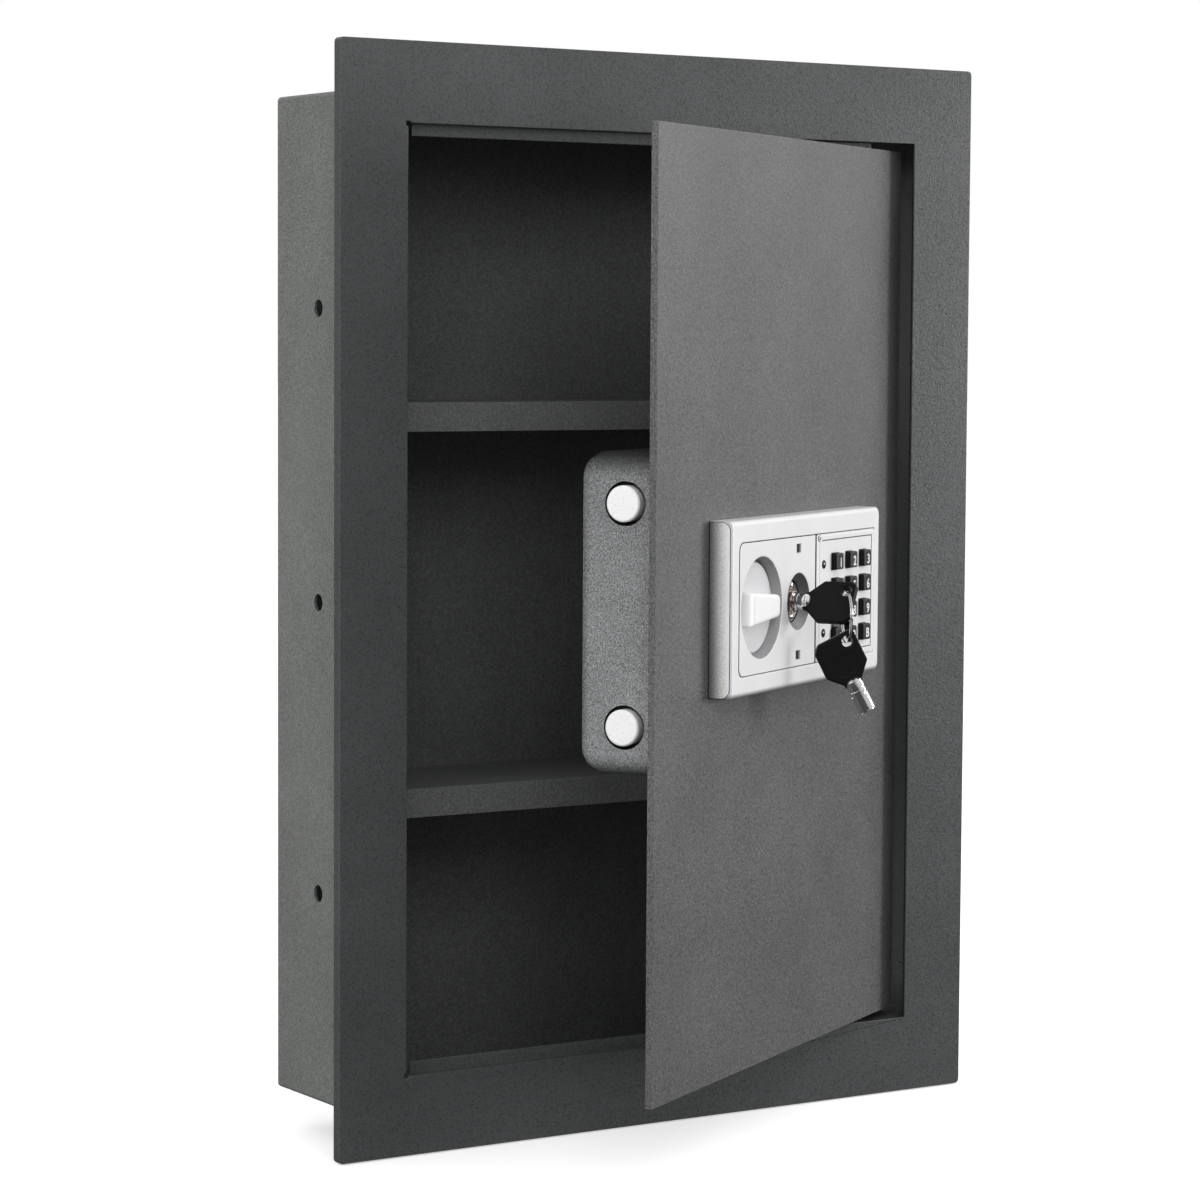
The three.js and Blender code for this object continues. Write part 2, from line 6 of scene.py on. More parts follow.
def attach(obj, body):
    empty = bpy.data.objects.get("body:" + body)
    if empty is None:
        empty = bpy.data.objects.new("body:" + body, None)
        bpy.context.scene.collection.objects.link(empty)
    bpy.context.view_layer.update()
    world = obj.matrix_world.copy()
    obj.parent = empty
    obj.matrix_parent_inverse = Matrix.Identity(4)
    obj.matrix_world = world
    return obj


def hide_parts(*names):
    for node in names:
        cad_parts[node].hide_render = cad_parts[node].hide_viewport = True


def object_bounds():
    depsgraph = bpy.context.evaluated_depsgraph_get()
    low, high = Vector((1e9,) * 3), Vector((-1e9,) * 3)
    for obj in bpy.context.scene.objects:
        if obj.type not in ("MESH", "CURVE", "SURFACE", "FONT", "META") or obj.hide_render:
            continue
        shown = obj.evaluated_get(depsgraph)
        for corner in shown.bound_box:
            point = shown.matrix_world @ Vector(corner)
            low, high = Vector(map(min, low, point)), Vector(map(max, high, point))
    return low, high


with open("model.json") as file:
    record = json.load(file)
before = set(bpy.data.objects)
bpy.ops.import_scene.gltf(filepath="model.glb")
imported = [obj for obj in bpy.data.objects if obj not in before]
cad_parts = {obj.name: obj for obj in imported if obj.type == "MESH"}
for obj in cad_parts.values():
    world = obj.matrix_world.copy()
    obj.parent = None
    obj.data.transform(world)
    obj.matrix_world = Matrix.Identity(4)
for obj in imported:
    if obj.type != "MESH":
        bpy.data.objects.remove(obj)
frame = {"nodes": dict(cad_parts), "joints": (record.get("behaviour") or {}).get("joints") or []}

cad_lo, cad_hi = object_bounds()
NODES = frame["nodes"]
J = {j["name"]: j for j in frame["joints"]}

# ------------------------------------------------------------------ frames
# Pieces of the door are worked out in millimetres with the door shut (X across,
# Y into the wall, Z up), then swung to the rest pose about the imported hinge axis.
_ds = J["door_swing"]
PIVOT = Vector(_ds["pos_m"])
OPEN = math.radians(-_ds["range_deg"][0])
SWING = Matrix.Translation(PIVOT) @ Matrix.Rotation(OPEN, 4, Vector(_ds["axis"])) @ Matrix.Translation(-PIVOT)
UNSWING = SWING.inverted()
MM = Matrix.Scale(0.001, 4)
DOOR = SWING @ MM      # shut-door millimetres -> row frame
CAB = MM.copy()
DOOR_N = (SWING.to_3x3() @ Vector((0, -1, 0))).normalized()      # out of the door face
DOOR_E = (SWING.to_3x3() @ Vector((-1, 0, 0))).normalized()      # towards the free edge


class B:
    pass


def cbox(node, shut=True):
    """Box of a CAD node in millimetres, with the door shut."""
    co = np.array([v.co[:] for v in NODES[node].data.vertices])
    if shut:
        m = np.array(UNSWING)
        co = co @ m[:3, :3].T + m[:3, 3]
    lo, hi = co.min(0) * 1000, co.max(0) * 1000
    b = B()
    b.x0, b.y0, b.z0 = lo
    b.x1, b.y1, b.z1 = hi
    b.cx, b.cy, b.cz = (lo + hi) / 2
    return b


def principal(node):
    """(centre, axes by falling spread) of a node's vertices, row frame metres."""
    co = np.unique(np.round(np.array([v.co[:] for v in NODES[node].data.vertices]), 7), axis=0)
    c = co.mean(0)
    _, _, vt = np.linalg.svd(co - c)
    return Vector(c), [Vector(v).normalized() for v in vt]


# ------------------------------------------------------------------ materials
def base(name):
    m = bpy.data.materials.new(name)
    m.use_nodes = True
    nt = m.node_tree
    return m, nt, nt.nodes["Principled BSDF"]


def N(nt, kind, **kw):
    n = nt.nodes.new(kind)
    for k, v in kw.items():
        if k.startswith("i_"):
            key = k[2:]
            key = int(key) if key.isdigit() else key.replace("_", " ")
            n.inputs[key].default_value = v
        else:
            setattr(n, k, v)
    return n


def L(nt, a, ao, b, bi):
    nt.links.new(a.outputs[ao], b.inputs[bi])


def noise(nt, tc, scale, detail=2.0, rough=0.5):
    n = N(nt, "ShaderNodeTexNoise", i_Scale=scale, i_Detail=detail, i_Roughness=rough)
    L(nt, tc, "Object", n, "Vector")
    return n


def math_n(nt, op, a, b=None, clamp=False):
    n = N(nt, "ShaderNodeMath", operation=op, use_clamp=clamp)
    for i, v in enumerate((a, b)):
        if v is None:
            continue
        if isinstance(v, (int, float)):
            n.inputs[i].default_value = v
        else:
            nt.links.new(v, n.inputs[i])
    return n.outputs[0]


def remap(nt, v, a, b, c, d, clamp=True):
    n = N(nt, "ShaderNodeMapRange", clamp=clamp)
    nt.links.new(v, n.inputs["Value"])
    for k, x in zip(("From Min", "From Max", "To Min", "To Max"), (a, b, c, d)):
        n.inputs[k].default_value = x
    return n.outputs["Result"]


def mix_rgb(nt, fac, a, b, mode="MIX"):
    n = N(nt, "ShaderNodeMix", data_type="RGBA", blend_type=mode)
    for idx, v in ((0, fac), (6, a), (7, b)):
        if isinstance(v, (int, float)):
            n.inputs[idx].default_value = v
        elif isinstance(v, tuple):
            n.inputs[idx].default_value = v
        else:
            nt.links.new(v, n.inputs[idx])
    return n.outputs[2]


def rgb(c):
    return (c[0], c[1], c[2], 1.0)


def grey(v, tint=(0, 0, 0)):
    return (v + tint[0], v + tint[1], v + tint[2])


def edge_mask(nt, radius):
    """1 on edges, 0 on flats: where the bevelled normal leaves the true normal."""
    bv = N(nt, "ShaderNodeBevel", samples=4)
    bv.inputs["Radius"].default_value = radius
    g = N(nt, "ShaderNodeNewGeometry")
    d = N(nt, "ShaderNodeVectorMath", operation="DOT_PRODUCT")
    L(nt, bv, "Normal", d, 0)
    L(nt, g, "Normal", d, 1)
    return remap(nt, d.outputs["Value"], 0.995, 0.86, 0.0, 1.0)


def shut_coord(nt, tc, axis):
    """Shut-door coordinate of a point in millimetres, for shading that follows the shape."""
    row = UNSWING[axis]
    d = N(nt, "ShaderNodeVectorMath", operation="DOT_PRODUCT")
    L(nt, tc, "Object", d, 0)
    d.inputs[1].default_value = (row[0] * 1000, row[1] * 1000, row[2] * 1000)
    return math_n(nt, "ADD", d.outputs["Value"], row[3] * 1000)


def ramp(nt, v, a, b, c, d):
    n = N(nt, "ShaderNodeMapRange", interpolation_type="SMOOTHSTEP", clamp=True)
    nt.links.new(v, n.inputs["Value"])
    for k, x in zip(("From Min", "From Max", "To Min", "To Max"), (a, b, c, d)):
        n.inputs[k].default_value = x
    return n.outputs["Result"]


def powder(name, col, rough=0.55, grain=1500.0, speck=0.4, bump=0.55, spec=0.35, inside=None, dark=None, edge=0.25, mottle=0.10, shade_fn=None):
    """Sand-textured powder coat: bumpy film, light and dark grains, faint mottling, edges brightened as painted
    highlight and wear.
    """
    m, nt, bs = base(name)
    tc = N(nt, "ShaderNodeTexCoord")
    n1, n2, n3 = noise(nt, tc, grain, 2.5, 0.65), noise(nt, tc, grain * 2.1, 1.0, 0.5), noise(nt, tc, 14.0, 3.0, 0.55)
    v = N(nt, "ShaderNodeTexVoronoi", feature="F1", i_Scale=grain * 0.62)
    L(nt, tc, "Object", v, "Vector")
    a = remap(nt, n1.outputs[0], 0.32, 0.68, 1.0 - speck, 1.0 + speck)
    b = remap(nt, n2.outputs[0], 0.35, 0.65, 1.0 - speck * 0.45, 1.0 + speck * 0.45)
    c = remap(nt, n3.outputs[0], 0.3, 0.7, 1.0 - mottle, 1.0 + mottle)
    k = math_n(nt, "MULTIPLY", math_n(nt, "MULTIPLY", a, b), c)
    # painted highlight and wear: edges are lightened through the bevel mask
    e = edge_mask(nt, 0.0009)
    k = math_n(nt, "MULTIPLY", k, math_n(nt, "ADD", 1.0, math_n(nt, "MULTIPLY", e, edge)))
    if shade_fn:
        k = math_n(nt, "MULTIPLY", k, shade_fn(nt, tc))
    colour = rgb(col)
    # painted shade: where the mask is 1 the colour gives way to the darker one
    if inside is not None:
        colour = mix_rgb(nt, inside(nt, tc), rgb(col), rgb(dark))
    comb = N(nt, "ShaderNodeCombineColor")
    for i in range(3):
        nt.links.new(k, comb.inputs[i])
    out = mix_rgb(nt, 1.0, colour, comb.outputs[0], "MULTIPLY")
    nt.links.new(out, bs.inputs["Base Color"])
    nt.links.new(remap(nt, n1.outputs[0], 0.3, 0.7, rough - 0.08, rough + 0.10), bs.inputs["Roughness"])
    h = math_n(nt, "ADD", math_n(nt, "MULTIPLY", n1.outputs[0], 0.7), math_n(nt, "MULTIPLY", v.outputs["Distance"], 0.5))
    bp = N(nt, "ShaderNodeBump", i_Strength=bump, i_Distance=0.00016)
    nt.links.new(h, bp.inputs["Height"])
    L(nt, bp, "Normal", bs, "Normal")
    bs.inputs["Specular IOR Level"].default_value = spec
    return m


def plastic(name, col, rough=0.38, metal=0.0, grain=2600.0, speck=0.05, bump=0.12, spec=0.5, coat=0.0, edge=0.0, shade_fn=None):
    """Moulded plastic: spark-eroded skin, faint flow shading, edges lightened as painted highlight and handling wear.
    """
    m, nt, bs = base(name)
    tc = N(nt, "ShaderNodeTexCoord")
    n1, n2 = noise(nt, tc, grain, 2.0, 0.6), noise(nt, tc, 38.0, 2.0, 0.5)
    a = remap(nt, n1.outputs[0], 0.32, 0.68, 1.0 - speck, 1.0 + speck)
    b = remap(nt, n2.outputs[0], 0.3, 0.7, 0.975, 1.02)
    k = math_n(nt, "MULTIPLY", a, b)
    if shade_fn:
        k = math_n(nt, "MULTIPLY", k, shade_fn(nt, tc))
    # painted highlight and wear: edges are lightened through the bevel mask
    if edge:
        k = math_n(nt, "MULTIPLY", k, math_n(nt, "ADD", 1.0, math_n(nt, "MULTIPLY", edge_mask(nt, 0.0004), edge)))
    comb = N(nt, "ShaderNodeCombineColor")
    for i in range(3):
        nt.links.new(k, comb.inputs[i])
    nt.links.new(mix_rgb(nt, 1.0, rgb(col), comb.outputs[0], "MULTIPLY"), bs.inputs["Base Color"])
    nt.links.new(remap(nt, n1.outputs[0], 0.3, 0.7, rough - 0.05, rough + 0.07), bs.inputs["Roughness"])
    bp = N(nt, "ShaderNodeBump", i_Strength=bump, i_Distance=0.00008)
    L(nt, n1, 0, bp, "Height")
    L(nt, bp, "Normal", bs, "Normal")
    bs.inputs["Metallic"].default_value = metal
    bs.inputs["Specular IOR Level"].default_value = spec
    bs.inputs["Coat Weight"].default_value = coat
    return m


def metal(name, col, rough=0.1, var=0.06, stretch=(1, 1, 14), grain=900.0, bump=0.05, tint=None, tint_amt=0.0):
    """Plated metal: polishing lines, smudges in the gloss, slight colour drift."""
    m, nt, bs = base(name)
    tc = N(nt, "ShaderNodeTexCoord")
    mp = N(nt, "ShaderNodeMapping")
    mp.inputs["Scale"].default_value = stretch
    L(nt, tc, "Object", mp, "Vector")
    n1 = N(nt, "ShaderNodeTexNoise", i_Scale=grain, i_Detail=3.0)
    L(nt, mp, "Vector", n1, "Vector")
    n2 = noise(nt, tc, 120.0, 3.0, 0.6)
    f = remap(nt, n2.outputs[0], 0.35, 0.7, 0.0, 1.0)
    c2 = tint if tint else tuple(x * 0.9 for x in col)
    nt.links.new(mix_rgb(nt, math_n(nt, "MULTIPLY", f, tint_amt if tint else 0.5), rgb(col), rgb(c2)), bs.inputs["Base Color"])
    nt.links.new(math_n(nt, "ADD", remap(nt, n1.outputs[0], 0.3, 0.7, max(rough - var, 0.02), rough + var), math_n(nt, "MULTIPLY", f, var)), bs.inputs["Roughness"])
    bp = N(nt, "ShaderNodeBump", i_Strength=bump, i_Distance=0.00005)
    L(nt, n1, 0, bp, "Height")
    L(nt, bp, "Normal", bs, "Normal")
    bs.inputs["Metallic"].default_value = 1.0
    return m


_wrap = cbox("body_wrap", False)


_wc = np.array([v.co[:] for v in NODES["body_wrap"].data.vertices]) * 1000
_rim = _wc[(abs(_wc[:, 0] - _wrap.x0) < 0.05) & (_wc[:, 1] > _wrap.y0 + 6) & (_wc[:, 1] < _wrap.y1 - 6) & (_wc[:, 2] > _wrap.z0 + 6) & (_wc[:, 2] < _wrap.z1 - 6)]
_rim = _rim[np.argsort(_rim[:, 2])]
HOLES = [(g[:, 1].min() / 2 + g[:, 1].max() / 2, g[:, 2].min() / 2 + g[:, 2].max() / 2, (g[:, 2].max() - g[:, 2].min()) / 2)
         for g in np.split(_rim, np.where(np.diff(_rim[:, 2]) > 20)[0] + 1) if len(g) > 5]


def interior_shade_mask(nt, tc):
    """1 inside the cabinet shell and on the walls of its fixing holes, 0 on its outer faces: the area painted with
    shade.
    """
    s = N(nt, "ShaderNodeSeparateXYZ")
    L(nt, tc, "Object", s, 0)
    t = 0.75
    x = math_n(nt, "MULTIPLY", math_n(nt, "GREATER_THAN", s.outputs[0], (_wrap.x0 + t) / 1000), math_n(nt, "LESS_THAN", s.outputs[0], (_wrap.x1 - t) / 1000))
    z = math_n(nt, "MULTIPLY", math_n(nt, "GREATER_THAN", s.outputs[2], (_wrap.z0 + t) / 1000), math_n(nt, "LESS_THAN", s.outputs[2], (_wrap.z1 - t) / 1000))
    y = math_n(nt, "LESS_THAN", s.outputs[1], (_wrap.y1 - t) / 1000)
    m_ = math_n(nt, "MULTIPLY", math_n(nt, "MULTIPLY", x, z), y)
    for hy, hz, hr in HOLES:
        dy, dz = math_n(nt, "SUBTRACT", s.outputs[1], hy / 1000), math_n(nt, "SUBTRACT", s.outputs[2], hz / 1000)
        r = math_n(nt, "SQRT", math_n(nt, "ADD", math_n(nt, "MULTIPLY", dy, dy), math_n(nt, "MULTIPLY", dz, dz)))
        m_ = math_n(nt, "MAXIMUM", m_, math_n(nt, "LESS_THAN", r, (hr + 0.03) / 1000))
    return m_


_hb, _bzb = cbox("lock_housing"), cbox("bezel")
_dp, _ff = cbox("door_panel"), cbox("front_frame", False)


def opening_walls(nt, tc):
    """Walls of the opening on the hinge side, where the door keeps the light out."""
    s = N(nt, "ShaderNodeSeparateXYZ")
    L(nt, tc, "Object", s, 0)
    k = math_n(nt, "GREATER_THAN", s.outputs[1], (_ff.y0 + 0.9) / 1000)
    for i, (a, b) in ((0, (_dp.x0 - 5, _dp.x1 + 4.5)), (2, (_dp.z0 - 5, _dp.z1 + 5))):
        k = math_n(nt, "MULTIPLY", k, math_n(nt, "MULTIPLY", math_n(nt, "GREATER_THAN", s.outputs[i], a / 1000), math_n(nt, "LESS_THAN", s.outputs[i], b / 1000)))
    return math_n(nt, "MULTIPLY", k, ramp(nt, s.outputs[0], _ff.cx / 1000 - 0.01, _ff.cx / 1000 + 0.05, 0.0, 1.0))


def housing_shade(nt, tc):
    z, y = shut_coord(nt, tc, 2), shut_coord(nt, tc, 1)
    k = math_n(nt, "MULTIPLY", ramp(nt, z, _hb.z1 - 15, _hb.z1 - 0.5, 1.0, 0.06), ramp(nt, z, _hb.z0 + 0.5, _hb.z0 + 11, 0.30, 1.0))
    return math_n(nt, "MULTIPLY", k, ramp(nt, y, _hb.y1 - 5, _hb.y1 - 0.5, 1.0, 0.55))


def bezel_side_shade(nt, tc):
    return ramp(nt, shut_coord(nt, tc, 1), _bzb.y0 + 0.5, _bzb.y1 + 1.0, 1.55, 0.14)


PAINT = (0.118, 0.120, 0.119)
M = {}
M["frame"] = powder("frame_charcoal_powder_coat", (0.072, 0.0755, 0.0770), rough=0.31, speck=0.24, grain=1150, spec=0.5, inside=opening_walls, dark=(0.010, 0.010, 0.010))
# painted shade: the cabinet's inside and its fixing-hole walls take the darker colour
M["box"] = powder("cabinet_shell_powder_coat", (0.170, 0.177, 0.167), rough=0.50, speck=0.34, grain=1050, inside=interior_shade_mask, dark=(0.104, 0.107, 0.109))
# painted shade: parts inside the cabinet get a darker copy of the cabinet paint
M["inner"] = powder("interior_powder_coat_painted_shade", (0.122, 0.125, 0.127), rough=0.55, speck=0.34, grain=1000)
M["door"] = powder("door_grey_powder_coat", (0.112, 0.111, 0.110), rough=0.38, speck=0.52, grain=1050, spec=0.45, bump=0.6)
M["housing"] = powder("housing_sand_powder_coat", (0.208, 0.214, 0.217), rough=0.58, speck=0.66, grain=1350, bump=0.8, shade_fn=housing_shade)
M["silver"] = plastic("silver_satin_plastic", (0.82, 0.82, 0.83), rough=0.38, metal=0.10, speck=0.035, bump=0.08)
# painted shade: the bezel darkens towards its lower edge
M["bezel"] = plastic("bezel_satin_plastic", (0.82, 0.82, 0.83), rough=0.38, metal=0.10, speck=0.04, bump=0.08, shade_fn=lambda nt, tc: ramp(nt, shut_coord(nt, tc, 2), _bzb.z0 + 0.1, _bzb.z0 + 3.2, 0.34, 1.0))
M["silver_side"] = plastic("silver_textured_plastic", (0.80, 0.80, 0.79), rough=0.5, metal=0.10, grain=1900, speck=0.26, bump=0.5, shade_fn=bezel_side_shade)
# painted shade: the dish walls get a darker copy of the plate's silver, darker still towards the top
M["dish"] = plastic("silver_dish_plastic_painted_shade", (0.38, 0.38, 0.39), rough=0.30, metal=0.25, speck=0.03, bump=0.08, shade_fn=lambda nt, tc: ramp(nt, shut_coord(nt, tc, 2), cbox("knob").cz - 4, cbox("knob").cz + 24, 1.12, 0.62))
M["disc"] = plastic("knob_disc_plastic", (0.70, 0.70, 0.71), rough=0.36, metal=0.10, speck=0.03, bump=0.06)
M["knob"] = plastic("knob_silver_plastic", (0.96, 0.96, 0.96), rough=0.36, metal=0.0, speck=0.02, bump=0.06)
# edges of the black plastics and keycaps are lightened as painted highlight and handling wear
M["black"] = plastic("black_moulded_plastic", (0.0045, 0.0045, 0.0050), rough=0.46, speck=0.25, grain=2600, bump=0.16, spec=0.22, edge=4.0)
M["button"] = plastic("button_black_plastic", (0.020, 0.020, 0.021), rough=0.42, speck=0.2, grain=3200, bump=0.2, spec=0.45, edge=1.2)
# painted shade: keycap side walls get a darker copy of the keycap plastic
M["button_side"] = plastic("button_plastic_painted_side_shade", (0.004, 0.004, 0.004), rough=0.55, speck=0.2, grain=3200, bump=0.2, spec=0.2)
# black plastic, also used as painted shade in gaps, holes and hollow insides
M["dark"] = plastic("black_plastic_and_painted_recess_shade", (0.006, 0.006, 0.006), rough=0.6, speck=0.3, bump=0.2, spec=0.2)
M["rib"] = plastic("port_grey_plastic", (0.045, 0.045, 0.047), rough=0.5, speck=0.2, bump=0.2, spec=0.3)
M["chrome"] = metal("chrome_plate", (0.90, 0.90, 0.91), rough=0.06, var=0.02)
# painted reflection: the bolts get a near-white colour standing in for the bright reflection of their plating
M["bolt"] = plastic("bolt_plate_painted_reflection", (0.97, 0.97, 0.98), rough=0.30, metal=0.15, speck=0.015, grain=900, bump=0.05, spec=0.6)
M["guide"] = metal("guide_dark_zinc", (0.10, 0.10, 0.105), rough=0.5, var=0.08)
M["nickel"] = metal("barrel_nickel_plate", (0.62, 0.57, 0.53), rough=0.22, var=0.07, tint=(0.42, 0.33, 0.27), tint_amt=0.7)
M["flange"] = metal("barrel_flange_zinc", (0.24, 0.23, 0.22), rough=0.32, var=0.10)
M["zinc"] = metal("zinc_plate", (0.62, 0.63, 0.65), rough=0.34, var=0.10, tint=(0.60, 0.60, 0.50), tint_amt=0.5)
M["brass"] = metal("sintered_bronze", (0.60, 0.43, 0.20), rough=0.30, var=0.08)
M["print"] = plastic("legend_white_print", (0.86, 0.86, 0.85), rough=0.5, speck=0.06, grain=4000)
M["lens_g"] = plastic("lens_green_tint", (0.026, 0.040, 0.028), rough=0.10, spec=0.8, coat=1.0, speck=0.1)
M["lens_r"] = plastic("lens_red_tint", (0.046, 0.026, 0.025), rough=0.10, spec=0.8, coat=1.0, speck=0.1)
M["cell"] = plastic("cell_shrink_film", (0.03, 0.05, 0.09), rough=0.25, speck=0.1, coat=0.6)


def board_material():
    m, nt, bs = base("board_solder_mask")
    tc = N(nt, "ShaderNodeTexCoord")
    br = N(nt, "ShaderNodeTexBrick", i_Scale=520.0)
    br.inputs["Mortar Size"].default_value = 0.03
    L(nt, tc, "Object", br, "Vector")
    n1 = noise(nt, tc, 220.0, 2.0)
    c = mix_rgb(nt, br.outputs["Fac"], (0.03, 0.14, 0.06, 1), (0.10, 0.26, 0.11, 1))
    nt.links.new(mix_rgb(nt, math_n(nt, "MULTIPLY", n1.outputs[0], 0.3), c, (0.02, 0.09, 0.04, 1)), bs.inputs["Base Color"])
    bs.inputs["Roughness"].default_value = 0.32
    return m


M["board"] = board_material()


# ------------------------------------------------------------------ mesh helpers
def new_object(name, verts, faces, mat4, materials, smooth=35.0, face_mat=None):
    me = bpy.data.meshes.new(name)
    me.from_pydata([tuple(mat4 @ Vector(v)) for v in verts], [], faces)
    bm = bmesh.new()
    bm.from_mesh(me)
    bmesh.ops.remove_doubles(bm, verts=bm.verts, dist=1e-7)
    bmesh.ops.recalc_face_normals(bm, faces=bm.faces)
    bm.to_mesh(me)
    bm.free()
    for mt in (materials if isinstance(materials, (list, tuple)) else [materials]):
        me.materials.append(mt)
    ob = bpy.data.objects.new(name, me)
    bpy.context.scene.collection.objects.link(ob)
    shade(ob, smooth)
    if face_mat:
        for p in me.polygons:
            p.material_index = face_mat(p)
    return ob


def shade(ob, deg=35.0):
    me = ob.data
    me.polygons.foreach_set("use_smooth", [True] * len(me.polygons))
    me.set_sharp_from_angle(angle=math.radians(deg))
    me.update()


def loft(loops, wrap=False, cap0=True, cap1=True):
    """Skins a list of equal-length loops."""
    n = len(loops[0])
    verts = [p for l in loops for p in l]
    faces = []
    rows = len(loops)
    for i in range(rows if wrap else rows - 1):
        a, b = i * n, ((i + 1) % rows) * n
        for k in range(n):
            q = (k + 1) % n
            faces.append((a + k, a + q, b + q, b + k))
    if not wrap:
        if cap0:
            faces.append(tuple(range(n)))
        if cap1:
            faces.append(tuple((rows - 1) * n + k for k in range(n)))
    return verts, faces


def rr(x0, x1, z0, z1, r, y, n=8):
    """Rounded rectangle in the XZ plane at depth y."""
    r = max(min(r, (x1 - x0) / 2 - 1e-3, (z1 - z0) / 2 - 1e-3), 0.02)
    pts = []
    for cx, cz, a0 in ((x1 - r, z0 + r, -90), (x1 - r, z1 - r, 0), (x0 + r, z1 - r, 90), (x0 + r, z0 + r, 180)):
        for i in range(n + 1):
            a = math.radians(a0 + 90 * i / n)
            pts.append((cx + r * math.cos(a), y, cz + r * math.sin(a)))
    return pts


def rr2(x0, x1, z0, z1, rl, rq, y, n=8):
    """Rounded rectangle in XZ at depth y: radius rl at the x0 end, rq at the x1 end."""
    lim = min(x1 - x0, z1 - z0) / 2 - 1e-3
    pts = []
    for sx, sz, a0 in ((1, -1, -90), (1, 1, 0), (-1, 1, 90), (-1, -1, 180)):
        r = max(min(rq if sx > 0 else rl, lim), 0.02)
        cx, cz = (x1 if sx > 0 else x0) - sx * r, (z1 if sz > 0 else z0) - sz * r
        for i in range(n + 1):
            a = math.radians(a0 + 90 * i / n)
            pts.append((cx + r * math.cos(a), y, cz + r * math.sin(a)))
    return pts


def fillet(start, end, n=4):
    """Quarter arc in (inset, depth) leaving `start` along depth and arriving at `end` along inset."""
    (i0, d0), (i1, d1) = start, end
    return [(i0 + (i1 - i0) * (1 - math.cos(math.pi / 2 * k / n)), d0 + (d1 - d0) * math.sin(math.pi / 2 * k / n)) for k in range(n + 1)]


def circle(cx, cz, r, y, n=96, ph=0.0):
    return [(cx + r * math.cos(2 * math.pi * k / n + ph), y, cz + r * math.sin(2 * math.pi * k / n + ph)) for k in range(n)]


def lathe_y(profile, cx, cz, n=96, wrap=False):
    """Turns (radius, y) points about the Y-parallel axis through (cx, cz)."""
    return loft([circle(cx, cz, max(r, 1e-4), y, n) for r, y in profile], wrap=wrap)


def lathe_axis(profile, n=72, wrap=False):
    """Turns (radius, s) points about +X."""
    loops = [[(s, max(r, 1e-4) * math.cos(2 * math.pi * k / n), max(r, 1e-4) * math.sin(2 * math.pi * k / n)) for k in range(n)] for r, s in profile]
    return loft(loops, wrap=wrap)


def round_poly(pts, radii, seg=6):
    """Polygon with each corner turned into an arc."""
    out = []
    n = len(pts)
    for i in range(n):
        p, a, b = Vector(pts[i]), Vector(pts[i - 1]), Vector(pts[(i + 1) % n])
        u, v = (a - p).normalized(), (b - p).normalized()
        ang = math.acos(max(-1, min(1, u.dot(v))))
        r = radii[i] if isinstance(radii, (list, tuple)) else radii
        t = min(r / math.tan(ang / 2), (a - p).length * 0.48, (b - p).length * 0.48)
        rr_ = t * math.tan(ang / 2)
        c = p + (u + v).normalized() * (rr_ / math.sin(ang / 2))
        s, e = p + u * t, p + v * t
        a0 = math.atan2((s - c).y, (s - c).x)
        a1 = math.atan2((e - c).y, (e - c).x)
        d = (a1 - a0 + math.pi) % (2 * math.pi) - math.pi
        for k in range(seg + 1):
            q = a0 + d * k / seg
            out.append((c.x + rr_ * math.cos(q), c.y + rr_ * math.sin(q)))
    return out


def offset_poly(pts, d):
    """Moves each point of a closed outline inwards by d along its mean normal."""
    n = len(pts)
    area = sum(pts[i][0] * pts[(i + 1) % n][1] - pts[(i + 1) % n][0] * pts[i][1] for i in range(n))
    sg = 1 if area > 0 else -1
    out = []
    for i in range(n):
        a, p, b = Vector(pts[i - 1]), Vector(pts[i]), Vector(pts[(i + 1) % n])
        e1, e2 = (p - a), (b - p)
        if e1.length < 1e-9:
            e1 = e2
        if e2.length < 1e-9:
            e2 = e1
        e1, e2 = e1.normalized(), e2.normalized()
        n1, n2 = Vector((-e1.y, e1.x)) * sg, Vector((-e2.y, e2.x)) * sg
        m = (n1 + n2).normalized()
        out.append(tuple(p + m * (d / max(m.dot(n1), 0.4))))
    return out


def bake(ob):
    bpy.context.view_layer.update()
    dg = bpy.context.evaluated_depsgraph_get()
    me = bpy.data.meshes.new_from_object(ob.evaluated_get(dg))
    ob.modifiers.clear()
    ob.data = me
    return ob


def boolean(ob, cutters, op="DIFFERENCE"):
    for c in cutters:
        md = ob.modifiers.new("cut", "BOOLEAN")
        md.operation, md.object, md.solver = op, c, "EXACT"
        bake(ob)
        bpy.data.objects.remove(c)
    bm = bmesh.new()
    bm.from_mesh(ob.data)
    bmesh.ops.remove_doubles(bm, verts=bm.verts, dist=2e-7)
    bm.to_mesh(ob.data)
    bm.free()
    return ob


def temp(verts_faces, mat4):
    return new_object("cutter", *verts_faces, mat4, [])


def box_vf(x0, x1, y0, y1, z0, z1):
    return loft([[(x0, y0, z0), (x1, y0, z0), (x1, y0, z1), (x0, y0, z1)], [(x0, y1, z0), (x1, y1, z0), (x1, y1, z1), (x0, y1, z1)]])


def soften(ob, width=0.4, seg=3, angle=40.0, weld=False):
    """Rounds the sharp edges and evens the shading; the mesh itself is left alone."""
    if weld:
        w = ob.modifiers.new("weld", "WELD")
        w.merge_threshold = 2e-6
        d = ob.modifiers.new("planar", "DECIMATE")
        d.decimate_type = "DISSOLVE"
        d.angle_limit = math.radians(0.6)
    if width:
        b = ob.modifiers.new("edges", "BEVEL")
        b.width, b.segments, b.limit_method, b.angle_limit = width / 1000, seg, "ANGLE", math.radians(angle)
        b.harden_normals = False
        b.miter_outer = "MITER_ARC"
    w = ob.modifiers.new("normals", "WEIGHTED_NORMAL")
    w.keep_sharp = True
    w.weight = 60


def place(ob, body, replaces=()):
    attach(ob, body)
    if replaces:
        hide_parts(*replaces)
    return ob


